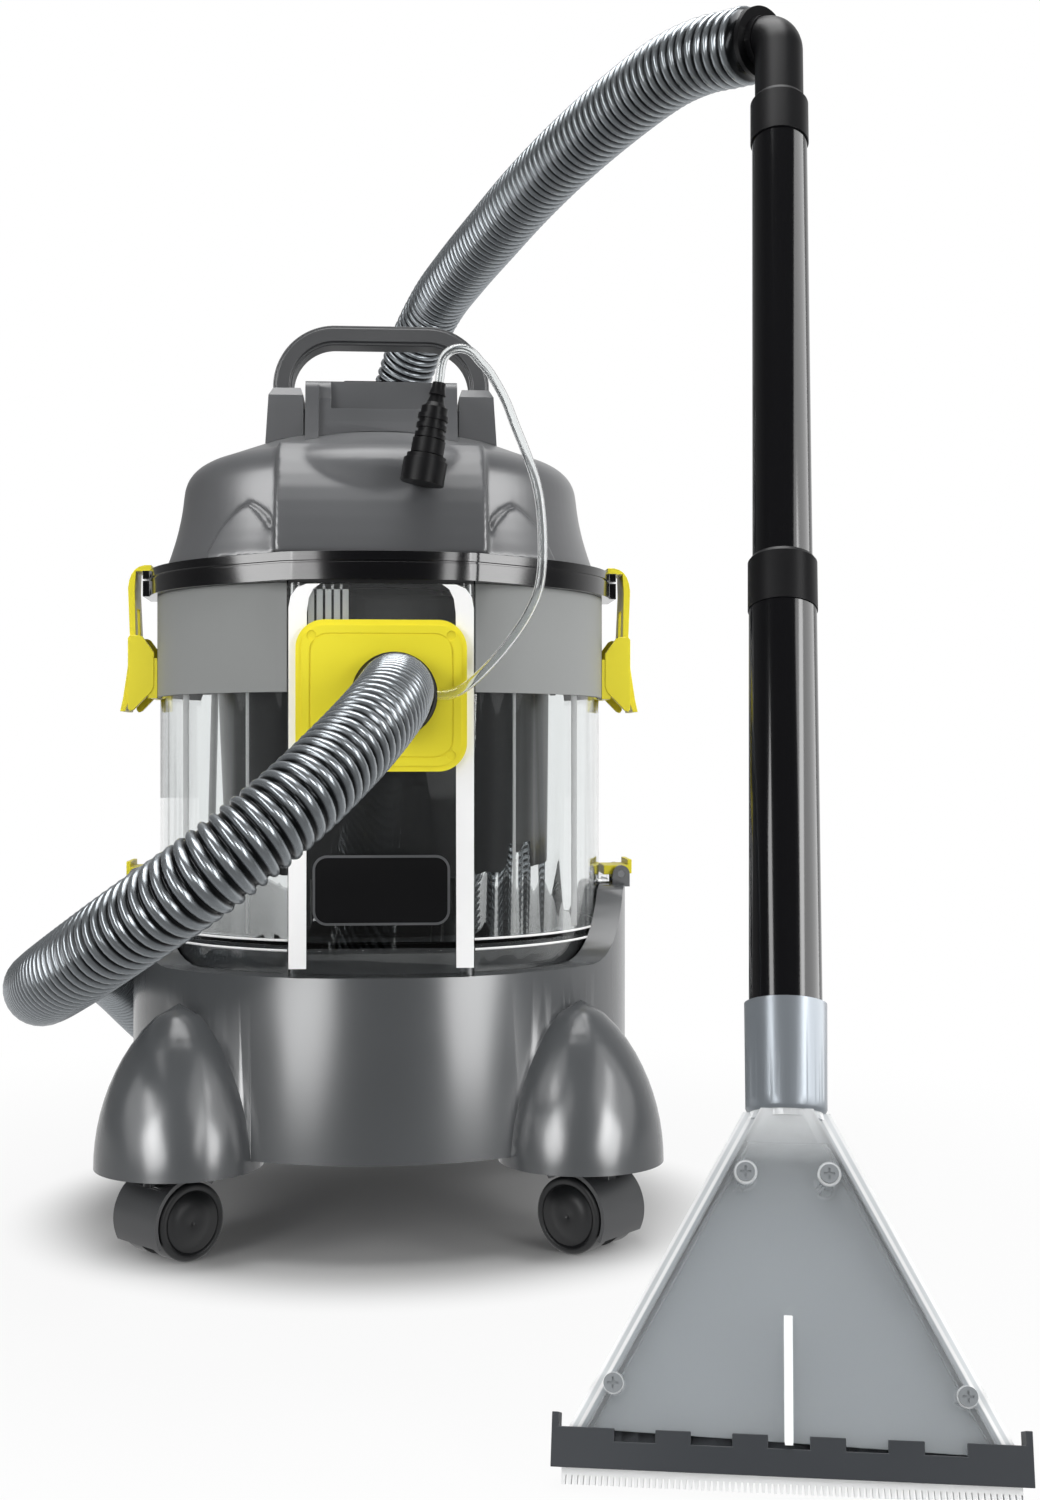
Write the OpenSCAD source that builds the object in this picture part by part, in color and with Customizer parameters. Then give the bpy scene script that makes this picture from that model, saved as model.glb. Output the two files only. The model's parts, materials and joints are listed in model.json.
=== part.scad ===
// Spot extractor: a clear wet tank on a castered base, a motor head with a
// carry handle, a ribbed suction hose, and a two-part wand with a clear
// upholstery nozzle. Millimetres, +Z up, the front faces -Y.
// The origin is the middle of the footprint, on the floor.

/* [Tank] */
// Outer radius of the clear tank
tank_r = 155.5; // [153:0.5:157]
// Wall of the clear tank
tank_wall = 3; // [2:0.5:4]
// Height of the tank's top edge above the floor
tank_top = 430; // [424:1:436]
// Width of the raised panel on the tank's front
panel_w = 118; // [116:1:122]
// Distance of that panel's face from the tank's axis
panel_out = 168; // [166:0.5:169]
// Radius of that panel's upright corners
panel_corner = 10; // [6:1:14]

/* [Collar and rim] */
// Height of the grey collar round the tank's top
collar_h = 70; // [60:1:76]
// Wall of the collar
collar_wall = 2; // [1.5:0.25:2.5]
// Outer radius of the black rim
rim_r = 163; // [162:0.5:165]
// Height of the black rim
rim_h = 18; // [16:1:20]
// Thickness of the rim's seal
seal_t = 2; // [1.5:0.25:3]

/* [Base] */
// Outer radius of the base
base_r = 174; // [172:0.5:176]
// Height of the base's lower edge above the floor
base_bottom = 65; // [60:1:70]
// Height of the deck that the tank stands on
deck = 182; // [176:1:188]
// Wall of the base moulding
base_wall = 4; // [3:0.5:5]
// Height of the base's two horns
horn_top = 230; // [226:1:234]
// Radius of the raised plinth on the deck
plinth_r = 147; // [140:1:148]
// Height of the plinth above the deck
plinth_h = 18; // [14:1:22]
// Sideways distance of a foot bell from the base's middle
foot_x = 130; // [128:1:132]
// Front to back distance of a foot bell from the base's middle
foot_y = 128; // [126:1:130]
// Radius of a foot bell at its mouth
foot_r = 54; // [52:1:56]
// Height of a foot bell's top above the floor
foot_top = 162; // [156:1:166]
// Height of a foot bell's mouth above the floor
foot_bottom = 58; // [57.5:0.5:60]

/* [Casters] */
// Radius of a caster wheel
wheel_r = 25; // [23:0.5:25]
// Width of one caster wheel
wheel_w = 16.5; // [14:0.5:17]
// Distance from a caster's stem to its axle
trail = 10; // [8:0.5:12]
// Radius of a caster's stem
stem_r = 4; // [3.5:0.25:4.5]
// Radius of a caster's axle
axle_r = 3; // [2.5:0.25:3.5]
// Sideways distance of a caster's stem from the base's middle
caster_x = 142; // [140:0.5:143]
// Front to back distance of a caster's stem from the base's middle
caster_y = 135; // [133:0.5:136]

/* [Head] */
// Radius of the head at the rim
head_r = 152; // [150:0.5:153]
// Wall of the head moulding
head_wall = 3.5; // [3:0.5:4]
// Height of the head's shoulder above the rim
shoulder_h = 77; // [75:1:79]
// Radius of the head where its wall turns into the shoulder
shoulder_r = 139; // [137:0.5:141]
// Width of the head's front panel
face_w = 136; // [130:1:140]
// Width of the box on top of the head
box_w = 84; // [80:1:88]
// Height of the box on top of the head
box_h = 48; // [46:1:50]
// Radius of the motor can
motor_r = 55; // [50:1:60]
// Radius of the fan under the motor
fan_r = 48; // [44:1:52]
// Bore radius of the blower port at the back
blower_bore = 19; // [17:0.5:20]

/* [Handle] */
// Width of the carry handle
handle_w = 153; // [150:1:156]
// Height of the handle's top above the floor
handle_top = 626; // [620:1:632]
// Thickness of the handle's bar
bar_t = 14; // [12:0.5:16]
// Front to back depth of the handle's bar
bar_d = 26; // [22:1:30]
// Outer corner radius of the handle
handle_corner = 44; // [36:1:48]

/* [Switches] */
// Width of a rocker switch
switch_w = 21; // [19:0.5:22]
// Front to back depth of a rocker switch
switch_d = 15; // [14:0.5:17]
// Radius of a rocker's turning face
rocker_r = 6.25; // [5.75:0.25:6.75]

/* [Latches] */
// Width of a side latch
latch_w = 42; // [36:1:48]
// Distance of a latch's pin from the tank's axis
latch_pin_x = 170; // [169:0.5:171]
// Height of a latch's pin above the floor
latch_pin_z = 375; // [372:1:378]
// Radius of the latch and clip pins
pin_r = 2.5; // [2:0.25:3]
// Width of a base clip
clip_w = 36; // [30:1:40]

/* [Inlet] */
// Width of the yellow inlet plate
plate_w = 107; // [100:1:110]
// Height of the yellow inlet plate
plate_h = 95; // [88:1:100]
// Thickness of the yellow inlet plate
plate_t = 7; // [5:0.5:8]
// Corner radius of the yellow inlet plate
plate_corner = 18; // [14:1:24]
// Sideways place of the inlet
inlet_x = 8; // [4:1:12]
// Height of the inlet above the floor
inlet_z = 359; // [357:1:361]
// Outer radius of the inlet port
port_r = 26.5; // [25.5:0.25:27.5]

/* [Coupling] */
// Sideways place of the spray coupling
coupling_x = 27; // [22:1:32]
// Height of the spray coupling's stub above the floor
coupling_z = 503; // [500:1:506]
// Radius of the coupling's nut
nut_r = 14; // [12.5:0.5:15]
// Lean of the coupling to the side
coupling_lean = 10; // [6:1:14]

/* [Hose and tube] */
// Outer diameter of the suction hose over its ribs
hose_d = 45; // [42:0.5:45]
// Bore of the suction hose
hose_bore = 36; // [34:0.5:37]
// Number of ribs on the suction hose
hose_ribs = 190; // [120:10:200]
// Outer diameter of the clear water tube
tube_d = 6; // [5:0.5:7]

/* [Wand] */
// Radius of the wand's upper tube
upper_r = 15.5; // [15:0.25:16]
// Radius of the wand's lower tube
lower_r = 17.4; // [17:0.2:17.6]
// Wall of the wand's tubes
tube_wall = 1.5; // [1.2:0.1:2]
// Lean of the wand from upright
lean = 20.5; // [20:0.5:21]
// Turn of the wand about the upright
yaw = 11; // [10:0.5:12]
// Sideways place of the nozzle's foot, from the tank's axis
foot_right = 177; // [175:1:180]
// Distance of the nozzle's foot in front of the tank's axis
foot_front = 547; // [545:1:550]
// Distance along the wand from the foot to the joint sleeve
sleeve_at = 422; // [419:1:425]
// Distance along the wand from the foot to the top collar
collar_at = 712; // [709:1:715]

/* [Nozzle] */
// Width of the nozzle's jaw
jaw_w = 208; // [204:1:212]
// Width of the clear cone above the jaw
cone_w = 200; // [194:1:202]
// Width of the clear cone at its neck
neck_w = 40; // [38:1:44]
// Wall of the clear cone
cone_wall = 2.5; // [2:0.25:3]
// Width of the suction slot
slot_w = 3.4; // [2.8:0.2:3.6]
// Spacing of the comb's teeth
comb_pitch = 2.65; // [2.4:0.05:3]
// Depth of the nozzle's jaw
jaw_d = 16; // [14:0.5:18]

/* [Hidden] */
$fn = 64;
FINE = 96;
// Clearances: pieces that touch on a curve, pieces that turn, loose pieces
SEAT = 0.1;
RUN = 0.05;
FREE = 0.3;
EPS = 0.5;

// ---------------------------------------------------------------- places
// A point given in the wand's own frame, seen from the tank's axis
function wand_world(p) =
    let (out = p.z * sin(lean) + p.y * cos(lean), up = lip_lift + p.z * cos(lean) - p.y * sin(lean))
    [foot_right + p.x * cos(yaw) + out * sin(yaw), -foot_front - p.x * sin(yaw) + out * cos(yaw), up];

lip_t = 5;
lip_lift = lip_t / 2 * sin(lean);
lip_top = 7;
jaw_top = 24;
ear_h = 30;
jaw_corners = [for (x = [-1, 1], y = [-1, 1], z = [lip_top, ear_h])
    wand_world([x * jaw_w / 2, y * jaw_d / 2, z])];
right_end = max([for (c = jaw_corners) c.x]);
front_end = min([for (c = jaw_corners) c.y]);
// Place of the tank's axis, which puts the origin in the middle of the footprint
machine_x = (foot_x + foot_r - right_end) / 2;
machine_y = -(foot_y + foot_r + front_end) / 2;

module at_machine() { translate([machine_x, machine_y, 0]) children(); }
module at_wand() {
    at_machine() translate([foot_right, -foot_front, lip_lift]) rotate([0, 0, -yaw]) rotate([-lean, 0, 0])
        children();
}
module both_sides() { children(); mirror([1, 0, 0]) children(); }
module four_corners() { for (x = [0, 1], y = [0, 1]) mirror([x, 0, 0]) mirror([0, y, 0]) children(); }
// Turns a flat outline in X and Z into a slab of the given depth, centred on Y
module slab_y(depth) { rotate([90, 0, 0]) linear_extrude(depth, center = true) children(); }
// Turns a flat outline in Y and Z into a slab of the given width, centred on X
module slab_x(width) { rotate([90, 0, 90]) linear_extrude(width, center = true) children(); }
module ring(r_out, r_in, h) {
    rotate_extrude($fn = FINE) translate([r_in, 0]) square([r_out - r_in, h]);
}
module rounded_square(size, r) {
    square([size.x - 2 * r, size.y], center = true);
    square([size.x, size.y - 2 * r], center = true);
    for (x = [-1, 1], y = [-1, 1]) translate([x * (size.x / 2 - r), y * (size.y / 2 - r)]) circle(r, $fn = 32);
}
// Points of a quadratic curve
function curve(a, b, c, n = 8) =
    [for (i = [0:n]) let (t = i / n) a * (1 - t) ^ 2 + b * 2 * t * (1 - t) + c * t ^ 2];

// ---------------------------------------------------------------- levels
collar_bottom = tank_top + seal_t - collar_h;
rim_bottom = tank_top + seal_t;
rim_top = rim_bottom + rim_h;
tank_floor = deck + plinth_h;
floor_t = 4;
collar_r = tank_r + SEAT + collar_wall;
plate_face = panel_out + plate_t;
port_end = plate_face + 11;

// ---------------------------------------------------------------- base
function bell_r(u) = foot_r * (1 - u ^ 2) ^ 0.7;
module bell(shrink) {
    top = foot_top - shrink;
    span = top - foot_bottom;
    rotate_extrude($fn = FINE) polygon(concat(
        [[0, foot_bottom - (shrink > 0 ? EPS : 0)], [foot_r - shrink, foot_bottom - (shrink > 0 ? EPS : 0)]],
        [for (i = [0:11]) let (u = i / 12) [bell_r(u) * (foot_r - shrink) / foot_r, foot_bottom + u * span]],
        [[0, top]]));
}
module bells(shrink) { four_corners() translate([foot_x, foot_y, 0]) bell(shrink); }

horn_half = 42;
horn_foot = 104;
// Height of the base's top edge at a distance in front of or behind the middle
function edge_z(y) = y < horn_half ? horn_top : y > horn_foot ? deck
    : deck + (horn_top - deck) * ((horn_foot - y) / (horn_foot - horn_half)) ^ 2;
horn_t = 17.5;
horn_in = base_r - horn_t;
ear_top = horn_top + 13;
ear_half_gap = clip_w / 2 + FREE;
clip_pin = [base_r - 4, 237];

module base_body() {
    intersection() {
        translate([0, 0, base_bottom]) cylinder(r = base_r, h = horn_top - base_bottom, $fn = FINE);
        slab_x(2 * base_r + 2) polygon(concat(
            [[-base_r - 1, base_bottom - 1]],
            [for (i = [-24:24]) let (y = i / 24 * (base_r + 1)) [y, edge_z(abs(y))]],
            [[base_r + 1, base_bottom - 1]]));
    }
}
module clip_ears() {
    for (s = [-1, 1]) translate([0, s * (ear_half_gap + 2), 0]) slab_y(4) difference() {
        union() {
            translate([clip_pin.x - 6, horn_top - 2]) square([12, clip_pin.y - horn_top + 2]);
            translate(clip_pin) circle(6);
        }
        translate(clip_pin) circle(pin_r + SEAT);
    }
}
boss_r = 11;
module caster_bosses() {
    four_corners() translate([caster_x, caster_y, foot_bottom]) cylinder(r = boss_r, h = deck - foot_bottom);
}
module base_shell() color("#5b5c5e") at_machine() {
    difference() {
        union() {
            difference() {
                union() { base_body(); bells(0); }
                translate([0, 0, base_bottom - EPS])
                    cylinder(r = base_r - base_wall, h = deck - base_wall - base_bottom + EPS, $fn = FINE);
                bells(base_wall);
                // the tank's seat between the horns
                translate([0, 0, deck]) cylinder(r = horn_in, h = horn_top - deck + EPS, $fn = FINE);
            }
            intersection() {
                caster_bosses();
                union() {
                    translate([0, 0, base_bottom]) cylinder(r = base_r, h = deck - base_bottom, $fn = FINE);
                    bells(0);
                }
            }
            translate([0, 0, deck - EPS]) cylinder(r = plinth_r, h = plinth_h + EPS, $fn = FINE);
            both_sides() clip_ears();
            for (a = [0:45:135]) rotate(a) translate([-plinth_r, -1.5, deck - 40]) cube([2 * plinth_r, 3, 38]);
        }
        four_corners() translate([caster_x, caster_y, foot_bottom - EPS])
            cylinder(r = stem_r + SEAT, h = stem_top - foot_bottom + EPS);
    }
}

clip_arm_x = 158;
lug_top = horn_top + 6;
clip_arm_z = lug_top + FREE;
module base_clip() {
    slab_y(clip_w) difference() {
        union() {
            translate(clip_pin) circle(6);
            translate([clip_arm_x, clip_arm_z]) square([clip_pin.x - clip_arm_x, 6.5]);
            translate([clip_pin.x, clip_pin.y]) square([8, 6]);
            translate([clip_pin.x + 5, clip_pin.y + 2]) square([3, 8]);
        }
        translate(clip_pin) circle(pin_r + RUN);
    }
}
module base_clip_left() color("#e8dd2c") at_machine() mirror([1, 0, 0]) base_clip();
module base_clip_right() color("#e8dd2c") at_machine() base_clip();
module base_clip_pins() color("#b8babc") at_machine() both_sides()
    translate([clip_pin.x, 0, clip_pin.y]) rotate([90, 0, 0]) cylinder(r = pin_r, h = clip_w + 8, center = true);

// ---------------------------------------------------------------- casters
stem_top = 96;
stem_bottom = 36;
web_w = 12;
wheel_gap = 13;
wheel_in = wheel_gap / 2;
hood_r = wheel_r + 4;
hood_wall = 2.5;
axle_reach = wheel_in + wheel_w - 4;
// Direction of the axle of the front left caster, and of its mirrored fellows
caster_turn = -48.6;

// Puts a caster drawn with its stem on Z and its wheels behind it on +X
module at_caster(side, end) {
    at_machine() mirror([side > 0 ? 1 : 0, 0, 0]) mirror([0, end > 0 ? 1 : 0, 0])
        translate([-caster_x, -caster_y, 0]) rotate([0, 0, 90 + caster_turn]) children();
}
module hood_sector(r) {
    intersection() {
        circle(r, $fn = FINE);
        polygon(concat([[0, 0]], [for (a = [56:19:208]) 2 * r * [cos(a), sin(a)]]));
    }
}
// The hood: a fender over both wheels, a web between them, a neck round the stem, and the axle
module caster_hood() {
    difference() {
        union() {
            translate([trail, 0, wheel_r]) slab_y(2 * (wheel_in + wheel_w)) difference() {
                hood_sector(hood_r);
                circle(hood_r - hood_wall, $fn = FINE);
            }
            translate([trail, 0, wheel_r]) slab_y(web_w) union() {
                hood_sector(hood_r - 1);
                circle(axle_r + 4);
            }
            translate([0, 0, stem_bottom - 4]) cylinder(r = web_w / 2, h = foot_bottom - FREE - stem_bottom + 4);
            translate([0, 0, wheel_r + hood_r - 7]) cylinder(r = 10, h = foot_bottom - FREE - wheel_r - hood_r + 7);
        }
        translate([0, 0, stem_bottom - EPS]) cylinder(r = stem_r + RUN, h = foot_bottom - stem_bottom + 2);
        // the neck stays clear of the wheels
        for (s = [-1, 1]) translate([trail, s * (wheel_in + wheel_w / 2), wheel_r]) rotate([90, 0, 0])
            cylinder(r = hood_r - hood_wall, h = wheel_w + 1, center = true, $fn = FINE);
    }
    translate([trail, 0, wheel_r]) rotate([90, 0, 0]) cylinder(r = axle_r, h = 2 * axle_reach, center = true);
}
module wheel(side) {
    translate([trail, side * wheel_in, wheel_r]) rotate([-90 * side, 0, 0]) rotate_extrude($fn = FINE) difference() {
        union() {
            square([wheel_r, wheel_w - 2.5]);
            square([wheel_r - 2.5, wheel_w]);
            translate([wheel_r - 2.5, wheel_w - 2.5]) circle(2.5);
        }
        translate([-EPS, -EPS]) square([axle_r + RUN + EPS, axle_reach - wheel_in + FREE + EPS]);
        translate([wheel_r - 6, wheel_w - 1]) square([1.2, 2]);
        translate([-1, wheel_w + 5.2]) circle(6, $fn = 48);
    }
}
module caster_stems() color("#9c9ea0") at_machine() four_corners() translate([caster_x, caster_y, stem_bottom]) {
    cylinder(r = stem_r, h = stem_top - stem_bottom);
}
module caster_hood_front_left() color("#2f3032") at_caster(-1, -1) caster_hood();
module caster_hood_front_right() color("#2f3032") at_caster(1, -1) caster_hood();
module caster_hood_back_left() color("#2f3032") at_caster(-1, 1) caster_hood();
module caster_hood_back_right() color("#2f3032") at_caster(1, 1) caster_hood();
module caster_wheel(side, end, place) color("#232425") at_caster(side, end) wheel(place);

// ---------------------------------------------------------------- tank
// The tank's plan: a circle with a flat panel standing out at the front
module tank_plan(inset) {
    half = panel_w / 2 - inset;
    face = panel_out - inset;
    r = max(panel_corner - inset, 1);
    circle(tank_r - inset, $fn = FINE);
    translate([-half + r, -face]) square([2 * (half - r), face]);
    translate([-half, -face + r]) square([2 * half, face - r]);
    for (s = [-1, 1]) translate([s * (half - r), -face + r]) circle(r, $fn = 32);
}
lug_half = 12;
module tank_shell() color([0.86, 0.88, 0.9, 0.35]) at_machine() difference() {
    union() {
        translate([0, 0, deck]) linear_extrude(tank_top - deck) tank_plan(0);
        translate([0, 0, lug_top - 5]) linear_extrude(5)
            square([2 * (clip_pin.x - 7.5), 2 * lug_half], center = true);
        // a bead round the foot
        translate([0, 0, tank_floor - 3]) linear_extrude(2) intersection() {
            tank_plan(-0.5);
            square([2 * tank_r, 3 * tank_r], center = true);
        }
    }
    translate([0, 0, tank_floor + floor_t]) linear_extrude(tank_top) tank_plan(tank_wall);
    translate([0, 0, deck - EPS]) linear_extrude(tank_floor - deck + EPS) tank_plan(tank_wall);
    translate([inlet_x, -panel_out, inlet_z]) rotate([90, 0, 0])
        cylinder(r = port_r + SEAT, h = 4 * tank_wall, center = true);
}

module tank_collar() color("#8f9190") at_machine() difference() {
    translate([0, 0, collar_bottom]) ring(collar_r, tank_r + SEAT, collar_h);
    translate([-panel_w / 2 - 1, -panel_out - 5, collar_bottom - 1]) cube([panel_w + 2, panel_out, collar_h + 2]);
}
module rim_seal() color("#1c1c1d") at_machine() translate([0, 0, tank_top]) linear_extrude(seal_t) difference() {
    tank_plan(0.4);
    tank_plan(tank_wall - 0.4);
}
// The rim's plan bulges over the tank's front panel
visor_r = panel_out + 4;
module rim_band() {
    hull() {
        circle(rim_r, $fn = FINE);
        intersection() {
            circle(visor_r, $fn = FINE);
            translate([-panel_w / 2 - 4, -visor_r]) square([panel_w + 8, visor_r]);
        }
    }
}
module rim_plan() {
    rim_band();
    for (s = [-1, 1]) translate([s * (rim_r - 2), 0]) square([10, latch_w + 6], center = true);
}
plate_r = 146;
ledge_r = 138;
ledge_h = 9;
module tank_rim() color("#17181a") at_machine() translate([0, 0, rim_bottom]) difference() {
    linear_extrude(rim_h) rim_plan();
    translate([0, 0, ledge_h]) cylinder(r = plate_r + SEAT, h = rim_h, $fn = FINE);
    translate([0, 0, -1]) cylinder(r = ledge_r, h = rim_h, $fn = FINE);
    // a groove round the band
    translate([0, 0, ledge_h + 2]) linear_extrude(1.2) difference() {
        offset(delta = 12) rim_band();
        offset(delta = -1) rim_band();
    }
}

// ---------------------------------------------------------------- inlet
module facing_front(depth) { translate([0, -depth, 0]) rotate([90, 0, 0]) children(); }
module inlet_plate() color("#ece02c") at_machine() difference() {
    union() {
        translate([0, 0, inlet_z]) facing_front(panel_out) linear_extrude(plate_t - 1.5)
            rounded_square([plate_w, plate_h], plate_corner);
        translate([0, 0, inlet_z]) facing_front(panel_out) linear_extrude(plate_t)
            rounded_square([plate_w - 7, plate_h - 7], plate_corner - 3.5);
    }
    translate([0, 0, inlet_z]) facing_front(plate_face - 0.8) linear_extrude(2) difference() {
        rounded_square([plate_w - 17, plate_h - 17], plate_corner - 6);
        rounded_square([plate_w - 19, plate_h - 19], plate_corner - 7);
    }
    translate([inlet_x, 0, inlet_z]) facing_front(panel_out - 1) cylinder(r = port_r + SEAT, h = plate_t + 2);
    for (x = [-1, 1], z = [-1, 1])
        translate([x * (plate_w / 2 - 10), 0, inlet_z + z * (plate_h / 2 - 10)]) facing_front(plate_face - 1)
            cylinder(r = 3, h = 2);
}
cuff_r = 22.5;
port_in = 150;
module inlet_port() color("#1b1b1c") at_machine() translate([inlet_x, 0, inlet_z]) {
    difference() {
        union() {
            facing_front(port_in) cylinder(r = port_r, h = port_end - port_in);
            facing_front(port_in) cylinder(r = port_r + 4, h = panel_out - tank_wall - port_in - FREE);
        }
        facing_front(port_in - 1) cylinder(r = cuff_r + SEAT, h = port_end - port_in + 2);
    }
}
baffle_depth = 26;
module inlet_deflector() color("#28292a") at_machine() translate([inlet_x, 0, inlet_z]) difference() {
    facing_front(port_in - baffle_depth) cylinder(r = port_r + 4, h = baffle_depth - FREE);
    facing_front(port_in - baffle_depth + 3) cylinder(r = port_r + 1, h = baffle_depth);
    // open below, so that the water falls into the tank
    translate([-port_r - 5, -port_in - 1, -port_r - 5]) cube([2 * port_r + 10, baffle_depth - 2, port_r - 3]);
}
cuff_end = 196;
module hose_cuff() color("#141415") at_machine() translate([inlet_x, 0, inlet_z]) difference() {
    union() {
        facing_front(port_in + 6) cylinder(r = cuff_r, h = cuff_end - port_in - 6);
        facing_front(port_end + FREE) cylinder(r = port_r, h = cuff_end - port_end - FREE - 3);
        facing_front(cuff_end - 3 - EPS) cylinder(r1 = port_r, r2 = port_r - 2, h = 3 + EPS);
    }
    facing_front(port_in) cylinder(r = hose_bore / 2, h = cuff_end);
    // the water tube's hole
    facing_front(port_end + 5) translate([port_r, 0, 0]) rotate([0, 90, 0])
        cylinder(r = tube_d / 2 + SEAT, h = 7, center = true);
}

// ---------------------------------------------------------------- inside the tank
vessel_r = 118;
vessel_in = 66;
vessel_bottom = 240;
vessel_floor = 262;
vessel_top = 424;
vessel_wall = 2.5;
peg_r = 4;
peg_at = 52;
pickup_at = 92;
module clean_water_tank() color("#222324") at_machine() {
    difference() {
        union() {
            difference() {
                translate([0, 0, vessel_bottom]) ring(vessel_r, vessel_in, vessel_top - vessel_bottom);
                translate([0, 0, vessel_floor]) ring(vessel_r - vessel_wall, vessel_in + vessel_wall,
                    vessel_top - vessel_floor - vessel_wall);
                translate([0, 0, vessel_bottom - 1]) ring(vessel_r - vessel_wall, vessel_in - 1,
                    vessel_floor - vessel_wall - vessel_bottom + 1);
            }
            translate([0, 0, vessel_top - EPS]) ring(vessel_r - 8, vessel_r - 11, 4);
        }
        // notches that let dirty water in under the skirt
        for (a = [-52, 52, 128, 232]) rotate(a - 90) translate([vessel_r, 0, 0]) rotate([90, 0, 90])
            linear_extrude(20, center = true)
                polygon([[-19, vessel_bottom - 1], [19, vessel_bottom - 1], [13, vessel_floor - 4], [-13, vessel_floor - 4]]);
        // the hole for the pump's pickup
        translate([0, pickup_at, vessel_top - 10]) cylinder(r = 9, h = 20);
    }
    for (x = [-1, 1], y = [-1, 1]) translate([x * peg_at, y * peg_at, tank_floor + floor_t])
        cylinder(r = peg_r, h = vessel_floor - vessel_wall / 2 - tank_floor - floor_t);
}
plate_z = rim_bottom + ledge_h;
head_plate_t = 5;
plate_top = plate_z + head_plate_t;
eye_r = 30;
pickup_r = 4;
pump_size = [54, 34, 38];
module water_pickup() color("#c9cccf") at_machine() translate([0, pickup_at, 0]) {
    translate([0, 0, vessel_floor + 6]) ring(pickup_r, pickup_r - 1.2, plate_top - vessel_floor - 6);
    translate([0, 0, vessel_floor + FREE]) difference() {
        cylinder(r = 8, h = 14);
        translate([0, 0, 6]) cylinder(r = pickup_r - 1.2, h = 10);
        for (a = [0:45:135]) rotate(a) translate([-9, -0.7, 2]) cube([18, 1.4, 8]);
    }
}

// ---------------------------------------------------------------- latches
bracket_out = 162;
ear_w = 4;
module latch_bracket() {
    ear_at = latch_w / 2 + FREE + ear_w / 2;
    difference() {
        union() {
            translate([140, -latch_w / 2 - FREE - ear_w, latch_pin_z - 14]) cube([bracket_out - 140, latch_w + 2 * FREE + 2 * ear_w, 28]);
            for (s = [-1, 1]) translate([0, s * ear_at, 0]) slab_y(ear_w) union() {
                translate([bracket_out - 2, latch_pin_z - 7]) square([latch_pin_x - bracket_out + 2, 14]);
                translate([latch_pin_x, latch_pin_z]) circle(7);
            }
        }
        cylinder(r = collar_r + SEAT, h = rim_top, $fn = FINE);
        translate([latch_pin_x, 0, latch_pin_z]) rotate([90, 0, 0])
            cylinder(r = pin_r - 0.5, h = latch_w + 2, center = true);
    }
    translate([latch_pin_x, 0, latch_pin_z]) rotate([90, 0, 0]) cylinder(r = pin_r, h = latch_w + 2 * FREE + 2 * ear_w, center = true);
}
module latch_brackets() color("#d8cd2a") at_machine() both_sides() latch_bracket();
hook_z = rim_top + FREE;
hook_x = rim_r - 2;
module latch() {
    pz = latch_pin_z;
    px = latch_pin_x;
    difference() {
        slab_y(latch_w) difference() {
            polygon(concat(
                [[hook_x, hook_z], [hook_x, hook_z + 4.5]],
                curve([hook_x, hook_z + 4.5], [px + 6, hook_z + 6], [px + 7, hook_z - 12], 6),
                [[px + 5, pz + 24], [px + 7, pz + 6], [px + 10, pz - 14], [px + 12, pz - 23],
                 [px + 8.5, pz - 23], [px + 4, pz - 10], [px - 3, pz - 6.2], [px - 6.2, pz - 2], [px - 6.2, pz + 5],
                 [px - 1, pz + 14], [px + 1, pz + 26], [px + 2.2, hook_z - 14], [px + 1.6, hook_z]]));
            translate([px, pz]) circle(pin_r + RUN);
        }
        // the side edges taper in above the pin, and a slot lightens the middle
        for (s = [-1, 1]) translate([px - 12, s * (latch_w / 2 + 3), hook_z - 46]) rotate([s * 6, 0, 0])
            translate([0, -3, 0]) cube([30, 6, 60]);
        translate([px - 12, -8, pz + 30]) cube([30, 16, 20]);
    }
}
module latch_left() color("#e8dd2c") at_machine() mirror([1, 0, 0]) latch();
module latch_right() color("#e8dd2c") at_machine() latch();

// ---------------------------------------------------------------- head
// Outline of the head's wall, from the rim up over its shoulder
shoulder_z = rim_top + shoulder_h;
function dome_wall(inset) = concat(
    curve([head_r - inset, rim_top], [head_r - 11 - inset, rim_top + 28], [shoulder_r - inset, rim_top + 52], 6),
    curve([shoulder_r - inset, rim_top + 52], [shoulder_r - 1 - inset, shoulder_z - 6 - inset],
          [shoulder_r - 23 - inset, shoulder_z - inset], 6));
neck_r = 84;
neck_z = shoulder_z + 12;
module dome(inset, lower = 0) {
    rotate_extrude($fn = FINE) polygon(concat(
        [[0, rim_top - lower], [head_r - inset, rim_top - lower]], dome_wall(inset),
        [[neck_r - inset, neck_z - inset], [0, neck_z - inset]]));
}
// The front panel of the head, swept straight across
module face_profile(inset) {
    polygon(concat(
        [[0, rim_top - (inset > 0 ? 1 : 0)]],
        curve([-head_r - 1 + inset, rim_top - (inset > 0 ? 1 : 0)], [-head_r + 6 + inset, rim_top + 50], [-head_r + 40 + inset, shoulder_z - inset], 8),
        [[0, shoulder_z - inset]]));
}
arch_w = 60;
arch_h = 36;
arch_turn = 37;
module arch_outline() {
    polygon(concat(
        curve([-arch_w / 2, 0], [-arch_w / 2 + 6, arch_h * 0.75], [0, arch_h], 6),
        curve([0, arch_h], [arch_w / 2 - 6, arch_h * 0.75], [arch_w / 2, 0], 6)));
}
vent_w = 3;
back_port_z = 482;
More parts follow.
